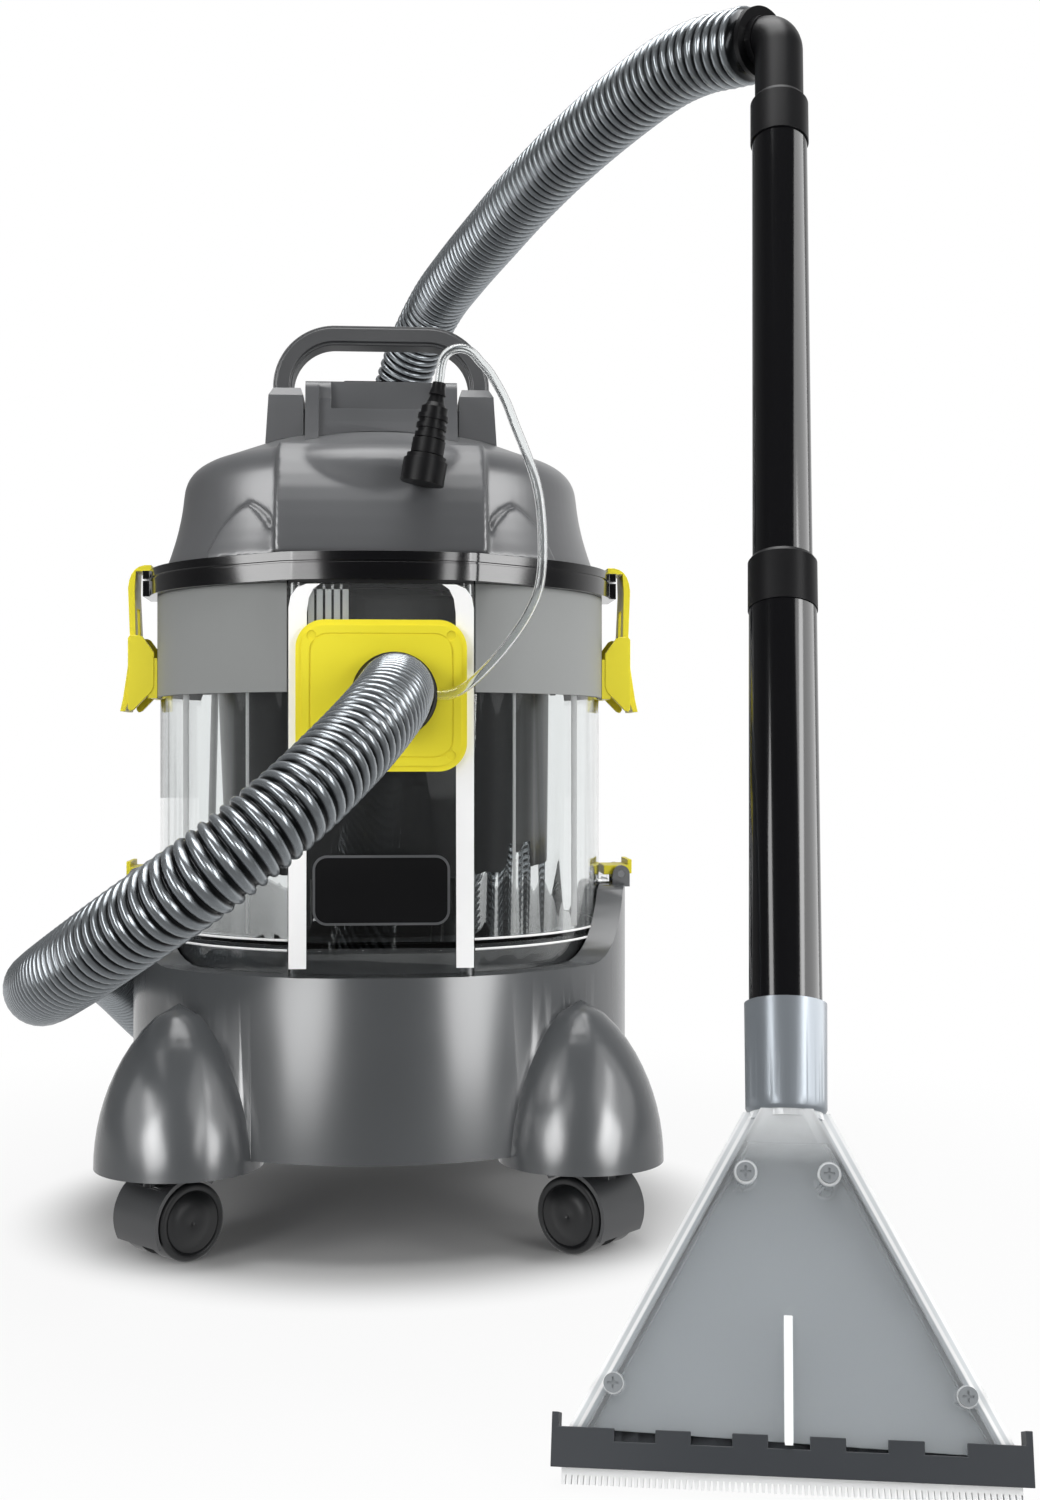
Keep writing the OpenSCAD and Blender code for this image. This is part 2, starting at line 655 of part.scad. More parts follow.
// The port points a little to the left, clear of the hose behind the head
blower_turn = 25;
gland_x = 62;
module head_shell() color("#6a6b6d") at_machine() difference() {
    union() {
        difference() {
            union() {
                dome(0);
                slab_x(face_w) face_profile(0);
                // four low arches round the foot
                intersection() {
                    dome(-5);
                    for (a = [arch_turn, -arch_turn, 180 - arch_turn, 180 + arch_turn]) rotate(a)
                        translate([0, 0, rim_top]) rotate([90, 0, 0]) linear_extrude(head_r + 10) arch_outline();
                }
            }
            dome(head_wall, 1);
            slab_x(face_w - 2 * head_wall) face_profile(head_wall);
            translate([0, 0, rim_top]) cylinder(r = box_w / 2 - 6, h = 2 * shoulder_h);
        }
        // pads that carry the coupling and the blower port
        translate([coupling_x, 0, coupling_z]) facing_front(pad_back) cylinder(r = 12, h = coupling_pad - pad_back);
    }
    translate([coupling_x, 0, coupling_z]) facing_front(pad_back - 1) cylinder(r = stub_r + SEAT, h = 60);
    translate([0, 0, back_port_z]) rotate([-90, 0, blower_turn]) cylinder(r = blower_bore + 3 + SEAT, h = 200);
    translate([gland_x, 0, rim_top + 22]) rotate([-90, 0, 0]) cylinder(r = gland_r + SEAT, h = 200);
    for (i = [0:6]) translate([-gland_x - 24 + i * 8, 100, rim_top + 14]) cube([vent_w, 60, 24]);
}
gland_r = 7;
stub_r = 8;
pad_back = 100;
coupling_pad = 132;

// The block on the head: a switch box, two fins and two pillars that hold the handle
box_top = shoulder_z + box_h;
box_front = 88;
box_back = 78;
pillar_in = handle_w / 2 - 23.5;
pillar_out = handle_w / 2 + 3.5;
pillar_half = 40;
pillar_top = box_top + 2;
module box_profile(grow, drop) {
    polygon(concat(
        [[-box_front - grow, shoulder_z - 6]],
        curve([-box_front - grow, shoulder_z], [-box_front + 10 - grow, shoulder_z + 26], [-box_front + 12 - grow, box_top - 6 - drop], 5),
        curve([-box_front + 12 - grow, box_top - 6 - drop], [-box_front + 13 - grow, box_top - drop], [-box_front + 20 - grow, box_top - drop], 4),
        curve([box_back - 16, box_top - drop], [box_back - 6, box_top - drop], [box_back - 4, box_top - 12 - drop], 4),
        [[box_back + grow / 2, shoulder_z - 6]]));
}
module pillar() {
    hull() {
        translate([pillar_in, -pillar_half - 16, shoulder_z - 6]) cube([pillar_out - pillar_in, 2 * pillar_half + 32, 2]);
        translate([pillar_in + 1, -pillar_half, pillar_top - 8]) cube([pillar_out - pillar_in - 3, 2 * pillar_half, 2]);
        translate([pillar_in + 3, -pillar_half + 6, pillar_top - 2]) cube([pillar_out - pillar_in - 8, 2 * pillar_half - 12, 2]);
    }
}
fin_w = 9;
module head_top() color("#616264") at_machine() difference() {
    union() {
        slab_x(box_w + 2 * fin_w) box_profile(-7, 6);
        slab_x(box_w) box_profile(0, 0);
        for (s = [-1, 1]) translate([s * (box_w + fin_w) / 2, 0, 0]) slab_x(fin_w) box_profile(5, 1);
        both_sides() pillar();
        both_sides() translate([box_w / 2 + fin_w - 4, -pillar_half, shoulder_z - 6])
            cube([pillar_in + 2 - box_w / 2 - fin_w + 4, 2 * pillar_half, 40]);
    }
    // everything below the head's shoulder belongs to the shell
    dome(-SEAT, 1);
    slab_x(face_w + 2 * SEAT) translate([0, SEAT]) face_profile(0);
    // the ledge across the front
    translate([-box_w / 2 + 8, -box_front - 10, box_top - 20]) cube([box_w - 16, 26.5, 30]);
    // hollow inside, open to the shell below
    slab_x(box_w - 8) translate([0, -4]) intersection() {
        box_profile(-4, 0);
        translate([-58, shoulder_z - 10]) square([116, box_h + 8]);
    }
    // the handle's sockets
    handle_legs(FREE);
    // the switch opening
    translate([0, switch_y, box_top - 18]) linear_extrude(24) square([2 * switch_w + switch_gap - 4, opening_d], center = true);
}
switch_gap = 9;
switch_y = -52;
opening_d = switch_d + 0.5;
bezel_t = 2;
module handle_outline(inset) {
    w = handle_w - 2 * inset;
    r = handle_corner - inset;
    top = handle_top - inset;
    foot = handle_foot - (inset > 0 ? 1 : 0);
    intersection() {
        union() {
            for (s = [-1, 1]) translate([s * (w / 2 - r), top - r]) circle(r, $fn = FINE);
            translate([-w / 2 + r, foot]) square([w - 2 * r, top - foot]);
            translate([-w / 2, foot]) square([w, top - r - foot]);
        }
        translate([-w / 2, foot]) square([w, top - foot]);
    }
}
handle_foot = 555;
module carry_handle() color("#4b4c4e") at_machine() difference() {
    slab_y(bar_d) difference() {
        handle_outline(0);
        handle_outline(bar_t);
    }
    for (y = [-1, 1]) translate([0, y * bar_d / 2, 0]) slab_y(4) difference() {
        handle_outline(-1);
        handle_outline(2.2);
    }
    for (y = [-1, 1]) translate([0, y * bar_d / 2, 0]) slab_y(4) difference() {
        handle_outline(bar_t - 2.2);
        handle_outline(bar_t + 1);
    }
}
module handle_legs(gap) {
    for (s = [-1, 1]) translate([s * (handle_w / 2 - bar_t / 2), 0, handle_foot - gap + 30])
        cube([bar_t + 2 * gap, bar_d + 2 * gap, 60], center = true);
}

// ---------------------------------------------------------------- switches
rocker_half = switch_w / 2 - 2;
rocker_axis = box_top + bezel_t - 3;
module switch_bezel() color("#0f0f10") at_machine() translate([0, switch_y, 0]) difference() {
    union() {
        translate([0, 0, box_top]) linear_extrude(bezel_t) rounded_square([2 * switch_w + switch_gap, opening_d + 4], 2);
        translate([0, 0, box_top - 12]) linear_extrude(12 + EPS)
            square([2 * switch_w + switch_gap - 4 - 2 * FREE, opening_d - 2 * FREE], center = true);
    }
    for (s = [-1, 1]) translate([s * (switch_w + switch_gap) / 2, 0, rocker_axis]) rotate([0, 90, 0])
        cylinder(r = rocker_r + FREE, h = 2 * (rocker_half + FREE), center = true);
}
// The top of a rocker is a shallow V, and it rests tipped to one side
rocker_rest = 8;
module rocker(side) {
    translate([side * (switch_w + switch_gap) / 2, switch_y, rocker_axis]) rotate([rocker_rest, 0, 0]) slab_x(2 * rocker_half)
        intersection() {
            circle(rocker_r);
            polygon([[-12, -12], [12, -12], [12, 5], [0, 3.6], [-12, 5]]);
        }
}
module rocker_left() color("#1a1a1b") at_machine() rocker(-1);
module rocker_right() color("#1a1a1b") at_machine() rocker(1);

// ---------------------------------------------------------------- inside the head
motor_z = 468;
motor_h = 50;
fan_z = plate_top + 4;
fan_h = 12;
shaft_r = 5;
module motor() color("#a8abad") at_machine() difference() {
    union() {
        translate([0, 0, motor_z]) cylinder(r = motor_r, h = motor_h, $fn = FINE);
        translate([0, 0, motor_z + motor_h]) cylinder(r = motor_r - 20, h = 6);
        // three posts stand on the head plate
        for (a = [30, 150, 270]) rotate(a) translate([motor_r + 3, 0, plate_top]) cylinder(r = 5, h = motor_z + 10 - plate_top);
        for (a = [30, 150, 270]) rotate(a) translate([motor_r - 5, -4, motor_z]) cube([10, 8, 10]);
    }
    translate([0, 0, motor_z - 1]) cylinder(r = shaft_r + RUN, h = motor_h - 8);
    for (a = [0:30:330]) rotate(a) translate([motor_r - 6, -2, motor_z + 14]) cube([10, 4, 28]);
}
module fan() color("#c2c4c6") at_machine() {
    translate([0, 0, fan_z]) difference() {
        cylinder(r = fan_r, h = 1.5, $fn = FINE);
        translate([0, 0, -1]) cylinder(r = 20, h = 4);
    }
    translate([0, 0, fan_z + fan_h - 1.5]) cylinder(r = fan_r, h = 1.5, $fn = FINE);
    for (i = [0:8]) rotate(i * 40) translate([17, -0.75, fan_z]) rotate([0, 0, 24]) cube([fan_r - 22, 1.5, fan_h - 1]);
    translate([0, 0, fan_z + 2]) cylinder(r = 12, h = fan_h - 2);
    translate([0, 0, fan_z + 4]) cylinder(r = shaft_r, h = motor_z + motor_h - 12 - fan_z - 4);
}
module pump() color("#5a5d60") at_machine() translate([0, pickup_at, plate_top]) {
    translate([-pump_size.x / 2, -pump_size.y / 2, 0]) cube(pump_size);
    translate([pump_size.x / 2 + 18, 0, pump_size.z / 2]) rotate([0, -90, 0]) cylinder(r = 14, h = 20);
}
module head_plate() color("#2c2d2f") at_machine() difference() {
    translate([0, 0, plate_z]) cylinder(r = plate_r, h = head_plate_t, $fn = FINE);
    translate([0, 0, plate_z - 1]) cylinder(r = eye_r, h = 10);
    translate([0, pickup_at, plate_z - 1]) cylinder(r = pickup_r + SEAT, h = 10);
}
cage_r = 44;
cage_low = 384;
float_r = 38;
float_low = cage_low + 3 + FREE;
float_h = 26;
module float_cage() color("#2a2b2d") at_machine() difference() {
    union() {
        translate([0, 0, cage_low]) cylinder(r = cage_r, h = plate_z - cage_low);
        translate([0, 0, plate_z - 4]) cylinder(r = cage_r + 8, h = 4);
    }
    translate([0, 0, cage_low + 3]) cylinder(r = cage_r - 3, h = plate_z);
    for (a = [0:30:330]) rotate(a) translate([cage_r - 6, -5, cage_low + 8]) cube([10, 10, plate_z - cage_low - 18]);
    translate([0, 0, cage_low - 1]) cylinder(r = 20, h = 6);
}
module float() color("#e6e2d2") at_machine() translate([0, 0, float_low]) rotate_extrude($fn = FINE) union() {
    square([float_r - 3, float_h]);
    translate([0, 3]) square([float_r, float_h - 6]);
    for (z = [3, float_h - 3]) translate([float_r - 3, z]) circle(3, $fn = 32);
}
module blower_port() color("#1d1e1f") at_machine() translate([0, 0, back_port_z]) rotate([0, 0, blower_turn]) difference() {
    union() {
        translate([0, 118, 0]) rotate([-90, 0, 0]) cylinder(r = blower_bore + 3, h = 40);
        translate([0, 118, 0]) rotate([-90, 0, 0]) cylinder(r = blower_bore + 6, h = 10);
        translate([0, 154, 0]) rotate([-90, 0, 0]) cylinder(r = blower_bore + 4.5, h = 4);
    }
    translate([0, 117, 0]) rotate([-90, 0, 0]) cylinder(r = blower_bore, h = 50);
}
module cord_gland() color("#161617") at_machine() translate([gland_x, 0, rim_top + 22]) difference() {
    union() {
        translate([0, 116, 0]) rotate([-90, 0, 0]) cylinder(r = gland_r, h = 30);
        translate([0, 144, 0]) rotate([-90, 0, 0]) cylinder(r1 = gland_r + 3, r2 = gland_r - 1, h = 10);
    }
    translate([0, 110, 0]) rotate([-90, 0, 0]) cylinder(r = 4, h = 60);
}

// ---------------------------------------------------------------- coupling
nut_h = 18;
coupling_out = 156;
module at_coupling() {
    at_machine() translate([coupling_x, -coupling_out, coupling_z]) rotate([0, coupling_lean, 0]) children();
}
module coupling_socket() color("#101011") {
    at_machine() translate([coupling_x, 0, coupling_z]) difference() {
        facing_front(pad_back + 6) cylinder(r = stub_r, h = coupling_out - plug_r - 1 - pad_back - 6);
        facing_front(pad_back) cylinder(r = 4, h = coupling_out - plug_r - 4 - pad_back);
    }
    at_coupling() translate([0, 0, -nut_h / 2]) difference() {
        union() {
            cylinder(r = nut_r - 1.5, h = nut_h);
            cylinder(r = nut_r, h = nut_h - 3, $fn = 12);
        }
        translate([0, 0, nut_h - 6]) cylinder(r = plug_r + SEAT, h = 10);
    }
}
plug_r = 9;
plug_top = 56;
module coupling_plug() color("#141415") at_coupling() difference() {
    union() {
        translate([0, 0, nut_h / 2 - 6 + FREE]) cylinder(r = plug_r, h = 12);
        translate([0, 0, nut_h / 2 + 1]) cylinder(r = 10.5, h = 9);
        translate([0, 0, 18]) cylinder(r = 8.5, h = 22);
        for (z = [20, 26, 32]) translate([0, 0, z]) cylinder(r = 9.8, h = 3);
        translate([0, 0, 38]) cylinder(r1 = 8.5, r2 = 5, h = 6);
        for (z = [43, 48]) translate([0, 0, z]) cylinder(r1 = 5.6, r2 = 4.2, h = 5);
        translate([0, 0, 43]) cylinder(r = 4.2, h = plug_top - 43);
    }
    translate([0, 0, plug_top - 8]) cylinder(r = tube_d / 2 + SEAT, h = 12);
}

// ---------------------------------------------------------------- hose and tube
// Route of the suction hose from the inlet cuff to the wand's elbow
hose_route = [
    [8, -196, 359], [8, -225, 359], [8, -254, 359], [2, -312, 348], [-16, -364, 326], [-46, -402, 296],
    [-86, -412, 264], [-126, -388, 236], [-160, -342, 212], [-186, -280, 194], [-204, -200, 182],
    [-212, -100, 178], [-212, 0, 174], [-205, 95, 154], [-184, 178, 112], [-144, 240, 60], [-88, 285, 28],
    [-28, 302, 24], [32, 298, 44], [80, 282, 98], [102, 262, 178], [98, 248, 262], [78, 240, 344],
    [48, 238, 420], [22, 238, 490], [10, 238, 554], [12, 230, 608], [26, 206, 652], [44, 164, 682],
    [62, 108, 696], [81, 44, 706], [102, -22, 717], [126, -86, 728], [153, -148, 738], [176, -196, 744],
    [193.4, -225.7, 744.4], [206.6, -244.4, 741.9], [219.9, -263, 739.4]];
// Route of the clear water tube from its plug to the hose cuff
tube_route = [
    [35.7, -156, 552.2], [36.9, -156, 561], [38.2, -156, 570.4], [40.8, -156, 576.2], [45.9, -156, 579.8],
    [52.1, -156, 580.3], [57.7, -156, 577.7], [62.5, -157, 572], [69, -159, 564], [78, -163, 547], [84, -168, 530], [90, -174, 513], [96, -179, 494], [99, -183, 475], [100, -185, 450],
    [98, -188, 428], [92, -190, 412], [82, -191, 396], [67, -191, 378], [52, -191, 364], [42, -191, 359.4], [32.5, -191, 359]];

// Catmull-Rom curve through the points of a route
function route_at(route, u) =
    let (i = min(max(floor(u), 0), len(route) - 2), t = u - i,
         a = i > 0 ? route[i - 1] : 2 * route[0] - route[1], b = route[i], c = route[i + 1],
         d = i < len(route) - 2 ? route[i + 2] : 2 * route[i + 1] - route[i])
    b + 0.5 * t * (c - a) + 0.5 * t ^ 2 * (2 * a - 5 * b + 4 * c - d) + 0.5 * t ^ 3 * (3 * b - a - 3 * c + d);
STEPS = 8;
// Table of length along the route against the curve's own parameter
function length_table(route) =
    let (pts = [for (k = [0:(len(route) - 1) * STEPS]) route_at(route, k / STEPS)])
    [for (k = 0, s = 0; k < len(pts); s = s + (k + 1 < len(pts) ? norm(pts[k + 1] - pts[k]) : 0), k = k + 1) [s, k / STEPS]];
function unit(v) = v / norm(v);
// Points and frames at the given distances along a route, with the frame carried along unturned
function frames(route, table, at) =
    let (pts = [for (s = at) route_at(route, lookup(s, table))],
         n = len(pts),
         dirs = [for (i = [0:n - 1]) unit(pts[min(i + 1, n - 1)] - pts[max(i - 1, 0)])])
    [for (i = 0, side = unit(cross(dirs[0], [0.3, 0.2, 1])); i < n;
          i = i + 1, side = i < n ? unit(side - (side * dirs[i]) * dirs[i]) : side)
        [pts[i], side, cross(dirs[i], side)]];
function circle_points(f, r, sides) = [for (k = [0:sides - 1]) f[0] + r * (cos(360 * k / sides) * f[1] + sin(360 * k / sides) * f[2])];
// Two triangles for each face between rings of points that start at a and b
function band(a, b, sides, flip) = [for (k = [0:sides - 1]) let (m = (k + 1) % sides)
    each flip ? [[a + k, b + k, b + m], [a + k, b + m, a + m]] : [[a + k, b + m, b + k], [a + k, a + m, b + m]]];
// A tube from outer rings and inner rings, closed by a flat ring at each end
module pipe(outer, inner, sides) {
    no = len(outer);
    ni = len(inner);
    first = no * sides;
    polyhedron(
        points = concat([for (r = outer) each r], [for (r = inner) each r]),
        faces = concat(
            [for (i = [0:no - 2]) each band(i * sides, (i + 1) * sides, sides, false)],
            [for (i = [0:ni - 2]) each band(first + i * sides, first + (i + 1) * sides, sides, true)],
            band(0, first, sides, true),
            band((no - 1) * sides, first + (ni - 1) * sides, sides, false)),
        convexity = 10);
}
SIDES = 8;
hose_table = length_table(hose_route);
hose_len = hose_table[len(hose_table) - 1][0];
hose_plain = 6;
rib_pitch = (hose_len - 2 * hose_plain) / hose_ribs;
valley_r = hose_d / 2 - 2.2;
module suction_hose() color("#b9bdc2") at_machine() {
    at = concat([0], [for (i = [0:hose_ribs - 1]) each [hose_plain + (i + 0.25) * rib_pitch, hose_plain + (i + 0.75) * rib_pitch]], [hose_len]);
    f = frames(hose_route, hose_table, at);
    last = len(at) - 1;
    outer = [for (i = [0:last]) circle_points(f[i], i == 0 || i == last ? valley_r : i % 2 == 1 ? hose_d / 2 : valley_r, SIDES)];
    inner = [for (i = [0, each [2:6:last - 3], last]) circle_points(f[i], hose_bore / 2, SIDES)];
    pipe(outer, inner, SIDES);
}
tube_table = length_table(tube_route);
tube_len = tube_table[len(tube_table) - 1][0];
// The rings stand closer together round the arch over the plug
tube_arch = 60;
tube_at = concat([for (at = [0:3:tube_arch]) at], [for (i = [1:26]) tube_arch + (tube_len - tube_arch) * i / 26]);
module water_tube() color([0.9, 0.93, 0.95, 0.5]) at_machine() {
    f = frames(tube_route, tube_table, tube_at);
    pipe([for (g = f) circle_points(g, tube_d / 2, SIDES)], [for (g = f) circle_points(g, tube_d / 2 - 1, SIDES)], SIDES);
}
echo(hose_length = hose_len, tube_length = tube_len, rib_pitch = rib_pitch, machine = [machine_x, machine_y]);
echo(hose_gap_between_ribs = rib_pitch / 2);

// ---------------------------------------------------------------- wand
cone_bottom = 18;
cone_top = 165;
socket_top = 217;
socket_bottom = cone_top;
module at_height(z) { translate([0, 0, z]) children(); }
module wand_tube_lower() color("#121315") at_wand() at_height(socket_top - 26)
    ring(lower_r, lower_r - tube_wall, sleeve_at - socket_top + 26);
sleeve_h = 29;
module wand_sleeve() color("#18191b") at_wand() at_height(sleeve_at) difference() {
    union() {
        cylinder(r = lower_r + 0.5, h = sleeve_h - 2);
        at_height(sleeve_h - 2 - EPS) cylinder(r1 = lower_r + 0.5, r2 = upper_r + 1, h = 2 + EPS);
        at_height(-20) cylinder(r = lower_r - tube_wall - SEAT, h = 21);
    }
    at_height(5) cylinder(r = upper_r + SEAT, h = sleeve_h);
    at_height(-21) cylinder(r = upper_r - tube_wall - 1, h = sleeve_h + 30);
}
module wand_tube_upper() color("#121315") at_wand() at_height(sleeve_at + 5)
    ring(upper_r, upper_r - tube_wall, collar_at + 8 - sleeve_at - 5);
collar_len = 29.5;
neck_tube_r = 13.8;
module wand_collar() color("#1a1b1d") at_wand() at_height(collar_at) difference() {
    union() {
        cylinder(r = upper_r + 0.9, h = collar_len - 3);
        at_height(collar_len - 3 - EPS) cylinder(r1 = upper_r + 0.9, r2 = neck_tube_r + 0.6, h = 3 + EPS);
    }
    at_height(-1) cylinder(r = upper_r + SEAT, h = 9);
    at_height(7) cylinder(r = neck_tube_r - 1.5, h = collar_len);
    at_height(collar_len - 10) cylinder(r = neck_tube_r + SEAT, h = 11);
}
bend_at = collar_at + 64;
bend_r = 15;
bend_angle = 70;
bend_turn = 50;
stub_len = 6;
flange_t = 3;
module elbow_stretch(r) {
    at_height(collar_at + collar_len - 10) cylinder(r = r, h = bend_at - collar_at - collar_len + 10);
    at_height(bend_at) translate([0, bend_r, 0]) rotate([90, 0, -90])
        rotate_extrude(angle = bend_angle) translate([bend_r, 0]) circle(r);
}
module at_mouth() { at_height(bend_at) translate([0, bend_r, 0]) rotate([-bend_angle, 0, 0]) translate([0, -bend_r, 0]) children(); }
module hose_elbow() color("#161718") at_wand() rotate([0, 0, bend_turn]) difference() {
    union() {
        elbow_stretch(neck_tube_r);
        at_mouth() at_height(-1.5) cylinder(r = neck_tube_r + 0.8, h = stub_len + 1);
        at_mouth() at_height(stub_len - 1) cylinder(r = hose_bore / 2 * cos(180 / SIDES) - FREE, h = 15);
        at_mouth() at_height(stub_len - flange_t) cylinder(r = valley_r, h = flange_t);
    }
    at_mouth() cylinder(r = neck_tube_r - 2, h = stub_len + 15);
    elbow_stretch(neck_tube_r - 2);
    at_height(collar_at) cylinder(r = neck_tube_r - 2, h = collar_len);
}

// ---------------------------------------------------------------- nozzle
flange_w = 8;
flange_d = 3;
function cone_half(z) = cone_w / 2 + (neck_w - cone_w) / 2 * (z - cone_bottom) / (cone_top - cone_bottom);
module cone_front(inset) {
    polygon([[-cone_w / 2 + inset, cone_bottom], [cone_w / 2 - inset, cone_bottom],
        [neck_w / 2 - inset, cone_top], [-neck_w / 2 + inset, cone_top]]);
}
module cone_side(inset) {
    polygon([[-6 + inset, cone_bottom], [6 - inset, cone_bottom], [16 - inset, cone_top], [-16 + inset, cone_top]]);
}
module cone_body(inset_w, inset_d) {
    intersection() {
        slab_y(60) cone_front(inset_w);
        slab_x(cone_w) cone_side(inset_d);
    }
}
screw_high = [cone_half(136) - 17, 136];
screw_low = [cone_half(43) - 9.2, 43];
screw_r = 2.2;
module screw_places() { for (s = [-1, 1], p = [screw_high, screw_low]) translate([s * p.x, 0, p.y]) rotate([90, 0, 0]) children(); }
module cone_half_shell(front) {
    y = front ? -1 : 1;
    intersection() {
        difference() {
            union() {
                cone_body(flange_w, 0);
                slab_y(2 * flange_d) cone_front(0);
                screw_places() cylinder(r = 5, h = 2 * flange_d + (front ? 3 : 0), center = true);
                at_height(cone_top - 3) cylinder(r = lower_r - tube_wall + 1.4, h = 26);
            }
            cone_body(flange_w + cone_wall, cone_wall);
            at_height(cone_top - 8) cylinder(r = 13, h = 40);
        }
        translate([-cone_w, front ? -40 : 0, 0]) cube([2 * cone_w, 40, 2 * cone_top]);
    }
    // posts round the upper screws
    intersection() {
        union() {
            screw_places() cylinder(r = 4, h = 60, center = true);
        }
        cone_body(flange_w, 0);
        translate([-cone_w, front ? -40 : 0, 0]) cube([2 * cone_w, 40, 2 * cone_top]);
    }
}
screw_depth = 7;
module screw_holes() {
    for (s = [-1, 1], p = [screw_high, screw_low]) translate([s * p.x, -screw_face(p), p.y]) rotate([-90, 0, 0])
        cylinder(r = screw_r + SEAT, h = 40);
}
// Distance of the cone's front face from its middle at a screw
function screw_face(p) = 6 + 10 * (p.y - cone_bottom) / (cone_top - cone_bottom) + 4;
rib_w = 3.5;
module nozzle_front() color([0.80, 0.83, 0.86, 0.45]) at_wand() difference() {
    union() {
        cone_half_shell(true);
        // the stiffening rib down the middle
        intersection() {
            translate([-rib_w / 2, -20, cone_bottom + 2]) cube([rib_w, 20, 54]);
            slab_x(rib_w) polygon([[-9, cone_bottom], [-5, cone_bottom], [-9.5, 80], [-12.4, 80]]);
        }
    }
    screw_holes();
}
module nozzle_back() color([0.62, 0.65, 0.68, 0.7]) at_wand() difference() {
    cone_half_shell(false);
    for (s = [-1, 1], p = [screw_high, screw_low]) translate([s * p.x, -1, p.y]) rotate([-90, 0, 0])
        cylinder(r = screw_r + SEAT, h = screw_depth);
}
module nozzle_screws() color("#b4b7ba") at_wand()
    for (s = [-1, 1], p = [screw_high, screw_low]) translate([s * p.x, 0, p.y]) rotate([90, 0, 0]) difference() {
        union() {
            translate([0, 0, -screw_depth + 1.5]) cylinder(r = screw_r, h = screw_face(p) + screw_depth - 5);
            translate([0, 0, screw_face(p) - 3.7]) cylinder(r = 4.2, h = 2.2);
        }
        translate([0, 0, screw_face(p) - 2]) linear_extrude(2) { square([5, 1], center = true); square([1, 5], center = true); }
    }
module nozzle_socket() color("#6a7075") at_wand() difference() {
    union() {
        at_height(socket_bottom + 2) cylinder(r1 = lower_r + 1.6, r2 = lower_r + 2.2, h = socket_top - socket_bottom - 2);
        at_height(socket_bottom) cylinder(r1 = lower_r + 0.6, r2 = lower_r + 1.6, h = 2);
    }
    at_height(socket_top - 26) cylinder(r = lower_r + SEAT, h = 27);
    at_height(socket_bottom - 1) cylinder(r = lower_r - tube_wall + 1.4 + SEAT, h = 31);
}
fence_t = 1.2;
slot_len = jaw_w - 26;
tooth_gap = 18;
module nozzle_jaw() color("#3a3d40") at_wand() difference() {
    union() {
        at_height(lip_top) linear_extrude(cone_bottom - lip_top) square([jaw_w, jaw_d], center = true);
        // the castellated fence before and behind the cone's foot
        for (y = [-1, 1]) translate([0, y * (jaw_d - fence_t) / 2, cone_bottom - 1]) linear_extrude(jaw_top - cone_bottom + 1)
            square([jaw_w - 4, fence_t], center = true);
        for (s = [-1, 1]) translate([s * (jaw_w / 2 - 1.5), 0, lip_top]) linear_extrude(ear_h - lip_top) square([3, jaw_d], center = true);
    }
    for (i = [0:4]) translate([(i - 2) * (jaw_w - 40) / 5, -jaw_d / 2, cone_bottom + 0.5]) linear_extrude(20) square([tooth_gap, 6], center = true);
    at_height(lip_top - 1) linear_extrude(40) square([slot_len, slot_w], center = true);
    // a seat under the cone's foot
    at_height(cone_bottom - 1.5) linear_extrude(3) square([cone_w - 2 * flange_w - 6, slot_w + 4], center = true);
    at_height(lip_top - 1) linear_extrude(2.2) square([jaw_w - 8, lip_t + 2 * SEAT], center = true);
}
comb_w = jaw_w - 9;
comb_teeth = floor(comb_w / comb_pitch);
module nozzle_lip() color("#eceeee") at_wand() rotate([90, 0, 0]) difference() {
    linear_extrude(lip_t, center = true) polygon(concat(
        [[-comb_w / 2, lip_top + 1], [-comb_w / 2, 0]],
        [for (i = [0:comb_teeth - 1]) let (x = (i - comb_teeth / 2) * comb_pitch)
            each [[x + 0.3, 0], [x + comb_pitch * 0.56, 0], [x + comb_pitch * 0.68, 4], [x + comb_pitch * 0.96, 4]]],
        [[comb_w / 2, 0], [comb_w / 2, lip_top + 1]]));
    translate([0, lip_top, 0]) cube([slot_len, 20, slot_w], center = true);
}

base_shell();
base_clip_left();
base_clip_right();
base_clip_pins();
caster_stems();
caster_hood_front_left();
caster_hood_front_right();
caster_hood_back_left();
caster_hood_back_right();
caster_wheel(-1, -1, 1);  // wheel_front_left_inner
caster_wheel(-1, -1, -1);  // wheel_front_left_outer
caster_wheel(1, -1, 1);  // wheel_front_right_inner
caster_wheel(1, -1, -1);  // wheel_front_right_outer
caster_wheel(-1, 1, 1);  // wheel_back_left_inner
caster_wheel(-1, 1, -1);  // wheel_back_left_outer
caster_wheel(1, 1, 1);  // wheel_back_right_inner
caster_wheel(1, 1, -1);  // wheel_back_right_outer
tank_shell();
tank_collar();
rim_seal();
tank_rim();
inlet_plate();
inlet_port();
inlet_deflector();
clean_water_tank();
water_pickup();
latch_left();
latch_right();
latch_brackets();
head_plate();
head_shell();
head_top();
carry_handle();
switch_bezel();
rocker_left();
rocker_right();
motor();
fan();
pump();
float_cage();
float();
cord_gland();
blower_port();
coupling_socket();
coupling_plug();
hose_cuff();
suction_hose();
hose_elbow();
water_tube();
wand_collar();
wand_tube_upper();
wand_sleeve();
wand_tube_lower();
nozzle_socket();
nozzle_front();
nozzle_back();
nozzle_jaw();
nozzle_lip();
nozzle_screws();
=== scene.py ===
"""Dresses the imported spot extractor: ribbed hose, clear tube and tank, moulded
plastics, casters, wand and nozzle, on a plain pale studio floor."""
import json
import math
from bisect import bisect_right

import bmesh
import bpy
from bpy.props import FloatProperty, FloatVectorProperty, IntProperty, PointerProperty
from mathutils import Matrix, Vector

